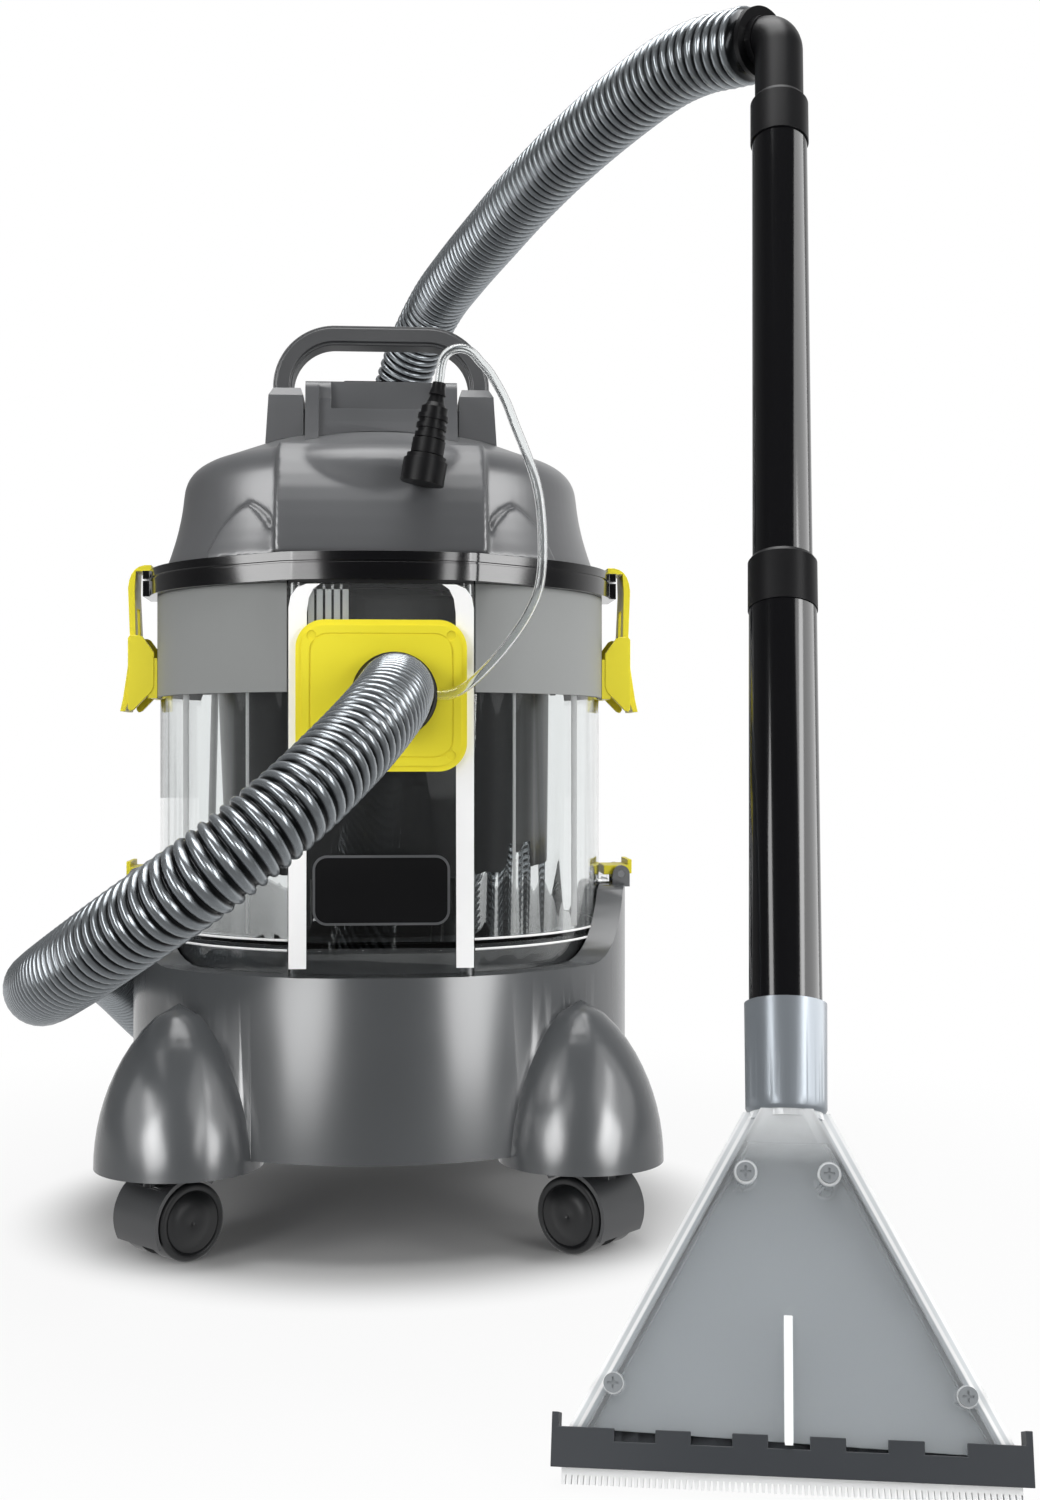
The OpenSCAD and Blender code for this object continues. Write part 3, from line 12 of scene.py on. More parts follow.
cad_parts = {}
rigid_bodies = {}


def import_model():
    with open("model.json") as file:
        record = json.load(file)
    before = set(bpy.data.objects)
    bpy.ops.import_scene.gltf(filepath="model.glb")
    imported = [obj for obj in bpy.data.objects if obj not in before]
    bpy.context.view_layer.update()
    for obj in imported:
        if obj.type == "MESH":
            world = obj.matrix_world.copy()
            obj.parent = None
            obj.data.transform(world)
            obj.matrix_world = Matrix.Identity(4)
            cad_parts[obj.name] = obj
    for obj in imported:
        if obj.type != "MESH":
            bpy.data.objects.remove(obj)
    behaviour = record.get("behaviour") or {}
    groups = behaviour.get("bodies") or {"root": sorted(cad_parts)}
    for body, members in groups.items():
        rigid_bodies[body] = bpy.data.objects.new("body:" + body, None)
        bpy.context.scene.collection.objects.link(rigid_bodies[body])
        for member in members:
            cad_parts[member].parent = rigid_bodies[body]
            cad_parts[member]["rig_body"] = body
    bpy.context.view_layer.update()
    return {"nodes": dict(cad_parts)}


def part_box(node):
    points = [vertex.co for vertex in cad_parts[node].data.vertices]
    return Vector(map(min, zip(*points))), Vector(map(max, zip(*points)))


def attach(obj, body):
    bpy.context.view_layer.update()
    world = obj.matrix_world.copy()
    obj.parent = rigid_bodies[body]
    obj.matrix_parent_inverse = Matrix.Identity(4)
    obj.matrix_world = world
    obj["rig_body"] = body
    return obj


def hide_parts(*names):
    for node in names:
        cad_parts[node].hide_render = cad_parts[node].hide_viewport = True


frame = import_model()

bl_info = {
    "name": "Spot extractor",
    "version": (1, 0, 0),
    "blender": (4, 5, 0),
    "location": "View3D > Sidebar > Extractor",
    "description": "Dresses a spot extractor with its hose, finishes and studio",
    "category": "Object",
}

MM = 0.001


# ------------------------------------------------------------------ places
# The float is round, so the middle of its box is on the tank's axis
FLOAT_LOW, FLOAT_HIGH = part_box("float")
AXIS = (FLOAT_LOW + FLOAT_HIGH) / 2


def at(x, y, z):
    """A point given in millimetres from the tank's axis and the floor."""
    return Vector((AXIS.x + x * MM, AXIS.y + y * MM, z * MM))


# The wand's own frame: its foot, and how it leans and turns
WAND_FOOT = at(177, -547, 0.88)
WAND_TURN = (math.radians(-20.5), 0, math.radians(-11))
# Half the nozzle's width at its foot and how much that narrows for each unit of height
CONE_HALF = 109.8 * MM
CONE_TAPER = 0.5442
# Upright rib on the nozzle: half its width, and its top
NOZZLE_RIB = (2, 74.25)
# Width of the nozzle's flange, distances from its edge between which it turns clear, and
# heights between which the neck is painted pale, as painted light gathered in the neck
FLANGE = 12
FLANGE_CLEARS = (7, 9)
NECK_PAINTED_LIGHT = (140, 165)
# Screws of the nozzle: distance to each side, height, and radius of the boss round each
SCREWS = ((18.8, 136, 5.3), (77.2, 43, 4.8))


def linear(code):
    """Linear colour of an sRGB hex value such as "#8f9190"."""
    parts = [int(code[i:i + 2], 16) / 255 for i in (1, 3, 5)]
    return [p / 12.92 if p <= 0.04045 else ((p + 0.055) / 1.055) ** 2.4 for p in parts]


# ------------------------------------------------------------------ settings
def colour(name, code, description):
    """A colour that a user would change."""
    return FloatVectorProperty(name=name, description=description, subtype="COLOR",
                               size=3, min=0, max=1, default=linear(code))


def length(name, millimetres, description):
    """A length that a user would change."""
    return FloatProperty(name=name, description=description, subtype="DISTANCE",
                         unit="LENGTH", min=0, default=millimetres * MM)


def power(name, watts, description):
    """A lamp's power that a user would change."""
    return FloatProperty(name=name, description=description, subtype="POWER", min=0,
                         default=watts)


def gloss_power(name, watts, lamps, part):
    """Power of lamps that light only the gloss of one part."""
    return power(name, watts, f"Power of the {lamps} that only the {part}'s gloss sees")


class ExtractorColours(bpy.types.PropertyGroup):
    """Colours of the extractor's plastics and metals"""
    base: colour("Base", "#4d4f51", "Grey of the base moulding")
    head: colour("Head", "#515254", "Grey of the head moulding")
    handle: colour("Handle", "#38393b", "Grey of the carry handle")
    collar: colour("Collar", "#909291", "Grey of the collar round the tank's top")
    yellow: colour("Yellow", "#eee02a", "Latches, clips and inlet plate")
    black: colour("Black", "#0c0c0e", "Rim, wand, coupling and switches")
    inner: colour("Inner black", "#1d1e20", "Vessel and fittings inside the tank")
    caster: colour("Caster", "#3b3c3e", "Hoods of the casters")
    tread: colour("Wheels", "#17181a", "Wheels of the casters")
    hose: colour("Hose", "#8f9498", "Crests of the suction hose's ribs")
    # painted shade: the colour that darkens the hose's valleys
    hose_valley_shade: colour("Hose valleys", "#121416", "Valleys between the hose's ribs")
    socket: colour("Nozzle socket", "#83898f", "Socket between the wand and the nozzle")
    jaw: colour("Nozzle jaw", "#34373b", "Castellated jaw of the nozzle")
    comb: colour("Comb", "#eff0f0", "Comb lip of the nozzle")
    smoke: colour("Smoke", "#ced2d5", "Tinted back half of the nozzle")


class ExtractorSizes(bpy.types.PropertyGroup):
    """Sizes of the extractor's pieces that the frame leaves to the looks"""
    rib_pitch: length("Rib pitch", 7.0, "Spacing of the hose's ribs")
    rib_height: length("Rib height", 2.6, "Height of the hose's ribs")
    hose_sides: IntProperty(name="Hose sides", description="Faces round the hose",
                            min=12, max=48, default=30)
    edge: length("Edge radius", 0.9, "Rounding of the larger mouldings' edges")
    fine_edge: length("Fine edge radius", 0.35, "Rounding of the small pieces' edges")


class ExtractorStudio(bpy.types.PropertyGroup):
    """Light and background of the studio"""
    floor: colour("Floor", "#bcbcbc", "Pale floor")
    fill: FloatProperty(name="Fill", description="Strength of the even light from all round",
                        min=0, default=0.36)
    key: power("Key", 21, "Power of the two front softboxes")
    overhead: power("Overhead", 40, "Power of the softbox above")
    side: power("Side", 12, "Power of the softbox on the right")
    base_gloss: gloss_power("Base gloss", 3.4, "two low lamps", "base")
    bell_gloss: gloss_power("Bell gloss", 42, "two wide lamps", "base")
    hose_gloss: gloss_power("Hose gloss", 11, "lamp", "hose")
    head_gloss: gloss_power("Head gloss", 80, "two lamps", "head")
    wand_gloss: gloss_power("Wand gloss", 75, "lamp", "wand")


class ExtractorSettings(bpy.types.PropertyGroup):
    """All settings of the extractor"""
    colours: PointerProperty(type=ExtractorColours)
    sizes: PointerProperty(type=ExtractorSizes)
    studio: PointerProperty(type=ExtractorStudio)


def settings():
    """The extractor's settings in the scene."""
    return bpy.context.scene.extractor


# ------------------------------------------------------------------ materials
def wire(node, inputs):
    """Sets inputs of a node, each to a value, to another node's socket, or to a node,
    which stands for its first socket."""
    for socket, value in inputs.items():
        if isinstance(value, bpy.types.Node):
            value = value.outputs[0]
        if isinstance(value, bpy.types.NodeSocket):
            node.id_data.links.new(value, node.inputs[socket])
        else:
            node.inputs[socket].default_value = value


def add(tree, kind, inputs=None, **options):
    """Adds a node and wires its inputs."""
    new = tree.nodes.new("ShaderNode" + kind)
    for name, value in options.items():
        setattr(new, name, value)
    wire(new, inputs or {})
    return new


def blank(name):
    """A new material with one Principled shader, and that shader; or the material
    that has this name already, and None."""
    material = bpy.data.materials.get(name)
    if material:
        return material, None
    material = bpy.data.materials.new(name)
    material.use_nodes = True
    tree = material.node_tree
    tree.nodes.clear()
    shader = add(tree, "BsdfPrincipled")
    add(tree, "OutputMaterial", {"Surface": shader})
    return material, shader


def principled(material):
    """The Principled shader of a material."""
    return next(n for n in material.node_tree.nodes if n.type == "BSDF_PRINCIPLED")


def relief(tree, shader, place, spacing, depth, detail=1.0):
    """Presses noise of that spacing and depth, in millimetres, into a surface."""
    noise = add(tree, "TexNoise", {"Vector": place, "Scale": 1 / (spacing * MM),
                                   "Detail": detail})
    bump = add(tree, "Bump", {"Height": noise, "Strength": 1.0, "Distance": depth * MM})
    wire(shader, {"Normal": bump})


PLASTIC_IOR = 1.5
CLEAR_IOR = 1.49
# Spacing in millimetres of the slow changes on moulded and on clear pieces
HAND = 90
RIPPLE = 25


def moulded(name, rgb, roughness, grain, depth, mottle=0.05, metallic=0.0):
    """A moulded plastic or cast surface: a grain of that size in millimetres, pressed
    in by that depth, with slow changes of shade and gloss over a hand's width. The
    denoiser draws a faint edge where roughness passes 0.274, so the ranges of the
    broad pieces stay clear of it."""
    material, shader = blank(name)
    if shader is None:
        return material
    tree = material.node_tree
    place = add(tree, "TexCoord").outputs["Object"]
    slow = add(tree, "TexNoise", {"Vector": place, "Scale": 1 / (HAND * MM), "Detail": 3.0})
    darker = [c * (1 - mottle) for c in rgb]
    lighter = [min(c * (1 + mottle), 1) for c in rgb]
    shade = add(tree, "Mix", {0: slow, 6: (*darker, 1), 7: (*lighter, 1)}, data_type="RGBA")
    gloss = add(tree, "MapRange", {"Value": slow, "From Min": 0.3, "From Max": 0.7,
                                   "To Min": roughness * 0.9,
                                   "To Max": min(roughness * 1.12, 1)})
    relief(tree, shader, place, grain, depth, detail=2.0)
    wire(shader, {"Base Color": shade.outputs[2], "Roughness": gloss, "IOR": PLASTIC_IOR,
                  "Metallic": metallic})
    return material


def clear(name, rgb, roughness, ior, ripple=0.01):
    """A clear moulded plastic: it bends what stands behind it, and the slow ripple
    of its faces breaks up the straight reflections a little."""
    material, shader = blank(name)
    if shader is None:
        return material
    tree = material.node_tree
    relief(tree, shader, add(tree, "TexCoord").outputs["Object"], RIPPLE, ripple)
    wire(shader, {"Base Color": (*rgb, 1), "Roughness": roughness, "IOR": ior,
                  "Transmission Weight": 1.0})
    return material


def moulded_base():
    # ABS with a spark-eroded skin: satin, with broad soft highlights. The real skin
    # is a few tenths of a millimetre fine, and is drawn coarser so that it shows.
    return moulded("abs_base_grey", settings().colours.base, 0.24, 2.4, 0.003)


def moulded_head():
    # the same ABS in a lighter grey
    return moulded("abs_head_grey", settings().colours.head, 0.33, 2.4, 0.003)


def moulded_handle():
    # glass-filled nylon: darker and duller, so that it grips
    return moulded("nylon_handle_grey", settings().colours.handle, 0.48, 0.7, 0.02)


def moulded_collar():
    # thin grey styrene band, nearly smooth
    return moulded("styrene_collar_grey", settings().colours.collar, 0.5, 1.2, 0.006, 0.03)


def moulded_yellow():
    # dyed polypropylene: waxy and a little glossy
    return moulded("polypropylene_yellow", settings().colours.yellow, 0.38, 1.1, 0.008, 0.03)


def polished_black():
    # ABS from a polished mould: deep black with sharp reflections
    return moulded("abs_polished_black", settings().colours.black, 0.12, 2.5, 0.003, 0.1)


def satin_black():
    # black ABS with a soft sheen, for sleeves and fittings
    material = moulded("abs_satin_black", settings().colours.black, 0.4, 0.8, 0.006, 0.1)
    wire(principled(material), {"Specular IOR Level": 0.25})
    return material


def inner_black():
    # black polypropylene inside the tank, slightly shiny
    return moulded("polypropylene_inner_black", settings().colours.inner, 0.31, 1.4, 0.01)


def caster_nylon():
    # black nylon with a lighter bloom from handling
    return moulded("nylon_caster", settings().colours.caster, 0.38, 0.6, 0.015, 0.08)


def wheel_tread():
    # hard polyurethane, darker and a little worn
    return moulded("polyurethane_wheel", settings().colours.tread, 0.42, 0.8, 0.02, 0.15)


def seal_rubber():
    # EPDM rubber, dull
    return moulded("epdm_seal", linear("#161617"), 0.7, 0.8, 0.01)


def hose_vinyl():
    # spiral-wound vinyl with a metallised film: silver crests, and valleys painted near black as
    # painted shade between the ribs
    material = moulded("vinyl_hose_silver", settings().colours.hose, 0.24, 1.2, 0.01,
                       metallic=0.72)
    tree = material.node_tree
    shader = principled(material)
    # painted shade: the valleys between the ribs are darkened in colour, by how high each point
    # stands
    crest = add(tree, "Attribute", attribute_name="crest")
    height = add(tree, "MapRange", {"Value": crest.outputs["Fac"], "From Min": 0.05,
                                    "From Max": 0.75}, interpolation_type="SMOOTHSTEP")
    shade = shader.inputs["Base Color"].links[0].from_socket
    valley = (*settings().colours.hose_valley_shade, 1)
    both = add(tree, "Mix", {0: height, 6: valley, 7: shade}, data_type="RGBA")
    wire(shader, {"Base Color": both.outputs[2]})
    return material


def socket_grey():
    # ABS with a silver-grey lacquer: soft, slightly metallic reflections
    return moulded("abs_lacquered_grey", settings().colours.socket, 0.31, 0.9, 0.01, 0.04,
                   metallic=0.45)


def jaw_grey():
    # dark glass-filled nylon of the jaw
    return moulded("nylon_jaw_grey", settings().colours.jaw, 0.42, 0.7, 0.015, 0.08)


def comb_white():
    # soft white nylon, dull and even
    return moulded("nylon_comb_white", settings().colours.comb, 0.4, 0.6, 0.01, 0.02)


def zinc_steel():
    # zinc-plated steel with a fine drawn grain
    return moulded("zinc_plated_steel", linear("#b4b6b9"), 0.31, 0.4, 0.006, 0.06,
                   metallic=1.0)


def screw_nickel():
    # nickel-plated screw heads, dulled by the clear plastic over them
    return moulded("nickel_plated_screw", linear("#85898c"), 0.42, 0.5, 0.01, 0.06,
                   metallic=0.25)


def cast_aluminium():
    # sand-cast aluminium, dull and even
    return moulded("cast_aluminium", linear("#a9acae"), 0.45, 0.8, 0.03, 0.06, metallic=1.0)


def float_foam():
    # closed-cell foam of the float
    return moulded("foam_float_white", linear("#e6e2d2"), 0.7, 1.5, 0.05, 0.04)


def tank_polycarbonate():
    # clear polycarbonate, polished inside and out, with a trace of grey
    return clear("polycarbonate_clear", linear("#f3f5f5"), 0.02, CLEAR_IOR, 0.004)


def painted_glint_polycarbonate():
    # the tank's ribs, panel edges and foot beads: white, painted glints where the thick clear
    # plastic catches light
    material = moulded("polycarbonate_painted_glints", linear("#ffffff"), 0.3, 1.2, 0.004, 0.0)
    wire(principled(material), {"Transmission Weight": 0.05})
    return material


def tube_vinyl():
    # clear soft vinyl of the water tube, a little milky
    return clear("vinyl_tube_clear", linear("#f6f8f8"), 0.12, 1.4)


def acrylic(name, face, see_through, roughness):
    """Acrylic of the nozzle: a face of that colour inside flanges whose edges carry painted
    highlights, two bright lines, with pale bosses round the screws, a neck painted pale as painted
    light, and a bright rib.
    bright rib. The pattern is laid out in the wand's own frame."""
    material, shader = blank(name)
    if shader is None:
        return material
    tree = material.node_tree
    place = add(tree, "TexCoord").outputs["Object"]
    own = add(tree, "Mapping", {"Vector": place, "Location": WAND_FOOT, "Rotation": WAND_TURN},
              vector_type="TEXTURE")
    parts = add(tree, "SeparateXYZ", {0: own})
    across = add(tree, "Math", {0: parts}, operation="ABSOLUTE")
    up = parts.outputs["Z"]
    half = add(tree, "Math", {0: up, 1: -CONE_TAPER, 2: CONE_HALF}, operation="MULTIPLY_ADD")
    inward = add(tree, "Math", {0: half, 1: across}, operation="SUBTRACT")
    along = add(tree, "MapRange", {"Value": inward, "From Max": FLANGE * MM})
    # painted highlights: the ramp lays two bright lines along the flanges' edges
    flange = add(tree, "ValToRGB", {"Fac": along})
    ramp = flange.color_ramp
    bright, soft, dim = linear("#ffffff"), linear("#d6dadc"), linear("#b3b8bc")
    stops = [(0.10, bright), (0.16, soft), (0.28, soft), (0.33, bright), (0.42, bright),
             (0.48, dim), (0.64, dim), (0.74, face)]
    ramp.elements[0].color = (*bright, 1)
    ramp.elements[1].color = (*face, 1)
    for position, tone in stops:
        ramp.elements.new(position).color = (*tone, 1)
    half_rib, rib_top = NOZZLE_RIB
    rib = add(tree, "MapRange", {"Value": across, "From Min": (half_rib + 0.2) * MM,
                                 "From Max": (half_rib - 0.2) * MM})
    low = add(tree, "MapRange", {"Value": up, "From Min": (rib_top + 0.25) * MM,
                                 "From Max": (rib_top - 0.25) * MM})
    marks = [add(tree, "Math", {0: rib, 1: low}, operation="MULTIPLY")]
    for x, z, boss in SCREWS:
        flat = add(tree, "CombineXYZ", {0: across, 1: up})
        away = add(tree, "VectorMath", {0: flat, 1: (x * MM, z * MM, 0)}, operation="DISTANCE")
        marks.append(add(tree, "MapRange", {"Value": away.outputs["Value"],
                                            "From Min": (boss + 0.4) * MM,
                                            "From Max": (boss - 0.4) * MM, "To Max": 0.6}))
    # painted light: the neck turns pale towards its top
    marks.append(add(tree, "MapRange", {"Value": up, "From Min": NECK_PAINTED_LIGHT[0] * MM,
                                        "From Max": NECK_PAINTED_LIGHT[1] * MM, "To Max": 0.55}))
    mark = marks[0]
    for other in marks[1:]:
        mark = add(tree, "Math", {0: mark, 1: other}, operation="MAXIMUM")
    shade = add(tree, "Mix", {0: mark, 6: flange, 7: (*linear("#f4f6f7"), 1)}, data_type="RGBA")
    start, end = FLANGE_CLEARS
    open_face = add(tree, "MapRange", {"Value": inward, "From Min": start * MM,
                                       "From Max": end * MM, "To Min": 0.12,
                                       "To Max": see_through})
    passing = add(tree, "Mix", {0: mark, 2: open_face, 3: 0.0})
    relief(tree, shader, place, RIPPLE, 0.03)
    wire(shader, {"Base Color": shade.outputs[2], "Transmission Weight": passing,
                  "Roughness": roughness, "IOR": CLEAR_IOR})
    return material


def nozzle_acrylic():
    # clear acrylic of the nozzle's front half, polished
    return acrylic("acrylic_clear", linear("#eef1f3"), 0.92, 0.06)


def nozzle_smoke():
    # tinted acrylic of the nozzle's back half, satin and nearly opaque
    return acrylic("acrylic_smoke", settings().colours.smoke, 0.12, 0.3)


# ------------------------------------------------------------------ pieces
SIDES = ("left", "right")


def paint(material, *nodes):
    """Gives CAD nodes whose shape is right their finish."""
    for name in nodes:
        for place in frame["nodes"][name].material_slots:
            place.material = material


def piece(bm, name, material, smooth_angle=35):
    """Makes an object of a bmesh, shaded smooth up to that angle in degrees."""
    mesh = bpy.data.meshes.new(name)
    bm.to_mesh(mesh)
    bm.free()
    mesh.shade_smooth()
    mesh.set_sharp_from_angle(angle=math.radians(smooth_angle))
    mesh.materials.append(material)
    made = bpy.data.objects.new(name, mesh)
    bpy.context.scene.collection.objects.link(made)
    return made


def belong(made, node):
    """Lets a new piece ride on a CAD node's body."""
    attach(made, frame["nodes"][node]["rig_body"])


def stand_for(made, node):
    """Lets a piece stand for a CAD node, with that node's body, and hides the node."""
    belong(made, node)
    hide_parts(node)
    return made


def addition(bm, name, material, node, smooth_angle=30):
    """Makes a piece that no CAD node shows, of solids that ride with a node."""
    bmesh.ops.recalc_face_normals(bm, faces=bm.faces)
    made = piece(bm, name, material, smooth_angle)
    belong(made, node)
    return made


def push_out(bm, outline, depth):
    """Adds a solid, an outline pushed out by a depth, and gives its corners."""
    face = bm.faces.new([bm.verts.new(corner) for corner in outline])
    wall = bmesh.ops.extrude_face_region(bm, geom=[face])["geom"]
    far = [v for v in wall if isinstance(v, bmesh.types.BMVert)]
    bmesh.ops.translate(bm, vec=depth, verts=far)
    return list(face.verts) + far


def round_edges(made, radius, segments=2):
    """Rounds the sharp edges of a piece, and gives the modifier."""
    bevel = made.modifiers.new("edges", "BEVEL")
    bevel.width = radius
    bevel.segments = segments
    bevel.limit_method = "ANGLE"
    return bevel


# Corners of a CAD mesh nearer than this are one, and faces that turn less are one
SAME_CORNER = 0.002 * MM
SAME_FACE = math.radians(0.6)
# Edges of a CAD node's shape that turn more than this, in degrees, are sharp
SHARP = 32


def softened(node, material, radius=None, segments=2, join_faces=True):
    """Stands for a CAD node: the same shape, merged, with its edges rounded to a
    radius, which is the small pieces' unless given."""
    if radius is None:
        radius = settings().sizes.fine_edge
    bm = bmesh.new()
    bm.from_mesh(frame["nodes"][node].data)
    bmesh.ops.remove_doubles(bm, verts=bm.verts, dist=SAME_CORNER)
    if join_faces:
        bmesh.ops.dissolve_limit(bm, angle_limit=SAME_FACE, verts=bm.verts, edges=bm.edges)
    made = piece(bm, node + "_finished", material, SHARP)
    if radius > 0:
        bevel = round_edges(made, radius, segments)
        bevel.angle_limit = math.radians(SHARP)
        bevel.use_clamp_overlap = True
        bevel.harden_normals = True
    return stand_for(made, node)


# ------------------------------------------------------------------ camera
# Focal length and picture height in pixels, the camera's place, and its turn to the right
FOCAL_PIXELS, PICTURE_HEIGHT = 1900, 1500
CAMERA_AT = (0, -1363.6, 325)
CAMERA_TURN = 4.17


class EXTRACTOR_OT_camera(bpy.types.Operator):
    """Sets a level camera in front of the machine, turned a little to the right"""
    bl_idname = "extractor.camera"
    bl_label = "Camera"

    def execute(self, context):
        sensor = 36
        lens = bpy.data.cameras.new("camera")
        lens.sensor_fit = "VERTICAL"
        lens.sensor_height = sensor
        lens.lens = sensor * FOCAL_PIXELS / PICTURE_HEIGHT
        lens.clip_end = 50
        camera = bpy.data.objects.new("camera", lens)
        camera.location = at(*CAMERA_AT)
        camera.rotation_euler = (math.radians(90), 0, math.radians(-CAMERA_TURN))
        context.scene.collection.objects.link(camera)
        context.scene.camera = camera
        return {"FINISHED"}


# ------------------------------------------------------------------ cords
# Points of the hose, in millimetres from the tank's axis and the floor
HOSE_ROUTE = [
    (8, -196, 359), (8, -225, 359), (8, -254, 359), (2, -312, 348), (-16, -364, 326),
    (-46, -402, 296), (-86, -412, 264), (-126, -388, 236), (-160, -342, 212), (-186, -280, 194),
    (-204, -200, 182), (-212, -100, 178), (-212, 0, 174), (-205, 95, 154), (-184, 178, 112),
    (-144, 240, 60), (-88, 285, 28), (-28, 302, 24), (32, 298, 44), (80, 282, 98),
    (102, 262, 178), (98, 248, 262), (78, 240, 344), (48, 238, 420), (22, 238, 490),
    (10, 238, 554), (12, 230, 608), (26, 206, 652), (44, 164, 682), (62, 108, 696),
    (81, 44, 706), (102, -22, 717), (126, -86, 728), (153, -148, 738), (176, -196, 744),
    (193.4, -225.7, 744.4), (206.6, -244.4, 741.9), (219.9, -263, 739.4)]
HOSE_DIAMETER = 45 * MM
HOSE_BORE = 36 * MM
# Plain length at each end of the hose
HOSE_PLAIN = 6 * MM
# One rib of the hose: share of the pitch and share of the rib's height
HOSE_RIB = ((0.0, 0.0), (0.14, 0.1), (0.22, 0.62), (0.36, 0.93), (0.5, 1.0), (0.64, 0.93),
            (0.78, 0.62), (0.86, 0.1))
# Points of the clear water tube
TUBE_ROUTE = [
    (35.7, -156, 552.2), (36.9, -156, 561), (38.2, -156, 570.4), (40.8, -156, 576.2),
    (45.9, -156, 579.8), (52.1, -156, 580.3), (57.7, -156, 577.7), (62.5, -157, 572),
    (69, -159, 564), (78, -163, 547), (84, -168, 530), (90, -174, 513), (96, -179, 494),
    (99, -183, 475), (100, -185, 450), (98, -188, 428), (92, -190, 412), (82, -191, 396),
    (67, -191, 378), (52, -191, 364), (42, -191, 359.4), (32.5, -191, 359)]
TUBE_DIAMETER = 6 * MM
TUBE_WALL = 1 * MM
TUBE_SIDES = 16


class Line:
    """A smooth line through given points, with an unturned frame along it."""

    def __init__(self, route, steps=16):
        """Takes points in millimetres and puts that many steps between two."""
        knots = [at(*point) for point in route]
        knots = [2 * knots[0] - knots[1]] + knots + [2 * knots[-1] - knots[-2]]
        self.points = [self.between(knots[i:i + 4], step / steps)
                       for i in range(len(knots) - 3) for step in range(steps)] + [knots[-2]]
        last = len(self.points) - 1
        self.along = [(self.points[min(i + 1, last)] - self.points[max(i - 1, 0)]).normalized()
                      for i in range(last + 1)]
        side = self.along[0].cross(Vector((0.3, 0.2, 1))).normalized()
        self.sides = []
        for direction in self.along:
            side = (side - side.dot(direction) * direction).normalized()
            self.sides.append(side)
        self.reach = [0.0]
        for one, two in zip(self.points, self.points[1:]):
            self.reach.append(self.reach[-1] + (two - one).length)

    @staticmethod
    def between(knots, t):
        """A Catmull-Rom point between the second and third of four knots."""
        a, b, c, d = knots
        return (b + 0.5 * t * (c - a) + 0.5 * t ** 2 * (2 * a - 5 * b + 4 * c - d)
                + 0.5 * t ** 3 * (3 * b - a - 3 * c + d))

    @property
    def length(self):
        """Length of the whole line in metres."""
        return self.reach[-1]

    def frame(self, distance):
        """Point and the two cross directions at a distance along the line."""
        i = min(max(bisect_right(self.reach, distance) - 1, 0), len(self.points) - 2)
        t = (distance - self.reach[i]) / (self.reach[i + 1] - self.reach[i])
        point = self.points[i].lerp(self.points[i + 1], t)
        along = self.along[i].lerp(self.along[i + 1], t).normalized()
        side = self.sides[i].lerp(self.sides[i + 1], t)
        side = (side - side.dot(along) * along).normalized()
        return point, side, along.cross(side)


def turned(profile, sides):
    """A closed solid of revolution about X, from points of distance and radius."""
    bm = bmesh.new()
    corners = [bm.verts.new((x, 0, r)) for x, r in profile]
    edges = [bm.edges.new(pair) for pair in zip(corners, corners[1:] + corners[:1])]
    bmesh.ops.spin(bm, geom=corners + edges, cent=(0, 0, 0), axis=(1, 0, 0),
                   angle=2 * math.pi, steps=sides, use_merge=True)
    bmesh.ops.recalc_face_normals(bm, faces=bm.faces)
    return bm


def mark_crests(bm, valley, crest):
    """Writes how high each point of a straight hose stands, from valley 0 to crest 1; the hose's
    material paints shade into the valleys by it.
    """
    layer = bm.verts.layers.float.new("crest")
    for vert in bm.verts:
        vert[layer] = (math.hypot(vert.co.y, vert.co.z) - valley) / (crest - valley)
    return bm


def bend(bm, line):
    """Lays a straight piece, drawn along X, on a line."""
    known = {}
    for vert in bm.verts:
        distance = round(vert.co.x, 7)
        if distance not in known:
            known[distance] = line.frame(distance)
        point, side, up = known[distance]
        vert.co = point + vert.co.y * side + vert.co.z * up
    return bm


class EXTRACTOR_OT_hose(bpy.types.Operator):
    """Makes the ribbed suction hose with its cuff"""
    bl_idname = "extractor.hose"
    bl_label = "Suction hose"

    def execute(self, context):
        sizes = settings().sizes
        line = Line(HOSE_ROUTE)
        crest = HOSE_DIAMETER / 2
        valley = crest - sizes.rib_height
        ribbed = line.length - 2 * HOSE_PLAIN
        count = round(ribbed / sizes.rib_pitch)
        pitch = ribbed / count
        outer = [(HOSE_PLAIN + (i + along) * pitch, valley + height * sizes.rib_height)
                 for i in range(count) for along, height in HOSE_RIB]
        rings = 60
        inner = [(line.length * (1 - i / rings), HOSE_BORE / 2) for i in range(rings + 1)]
        profile = [(0, valley)] + outer + [(line.length, valley)] + inner
        straight = mark_crests(turned(profile, sizes.hose_sides), valley, crest)
        hose = piece(bend(straight, line), "ribbed_hose", hose_vinyl(), 80)
        stand_for(hose, "suction_hose")
        cuff = softened("hose_cuff", satin_black())
        return {"FINISHED"}


class EXTRACTOR_OT_water_tube(bpy.types.Operator):
    """Makes the clear water tube from the spray coupling to the hose cuff"""
    bl_idname = "extractor.water_tube"
    bl_label = "Water tube"

    def execute(self, context):
        line = Line(TUBE_ROUTE)
        outer = TUBE_DIAMETER / 2
        rings = 110
        stations = [line.length * i / rings for i in range(rings + 1)]
        profile = [(s, outer) for s in stations] + [(s, outer - TUBE_WALL) for s in stations[::-1]]
        tube = piece(bend(turned(profile, TUBE_SIDES), line), "clear_tube", tube_vinyl(), 60)
        stand_for(tube, "water_tube")
        plug = softened("coupling_plug", satin_black())
        return {"FINISHED"}


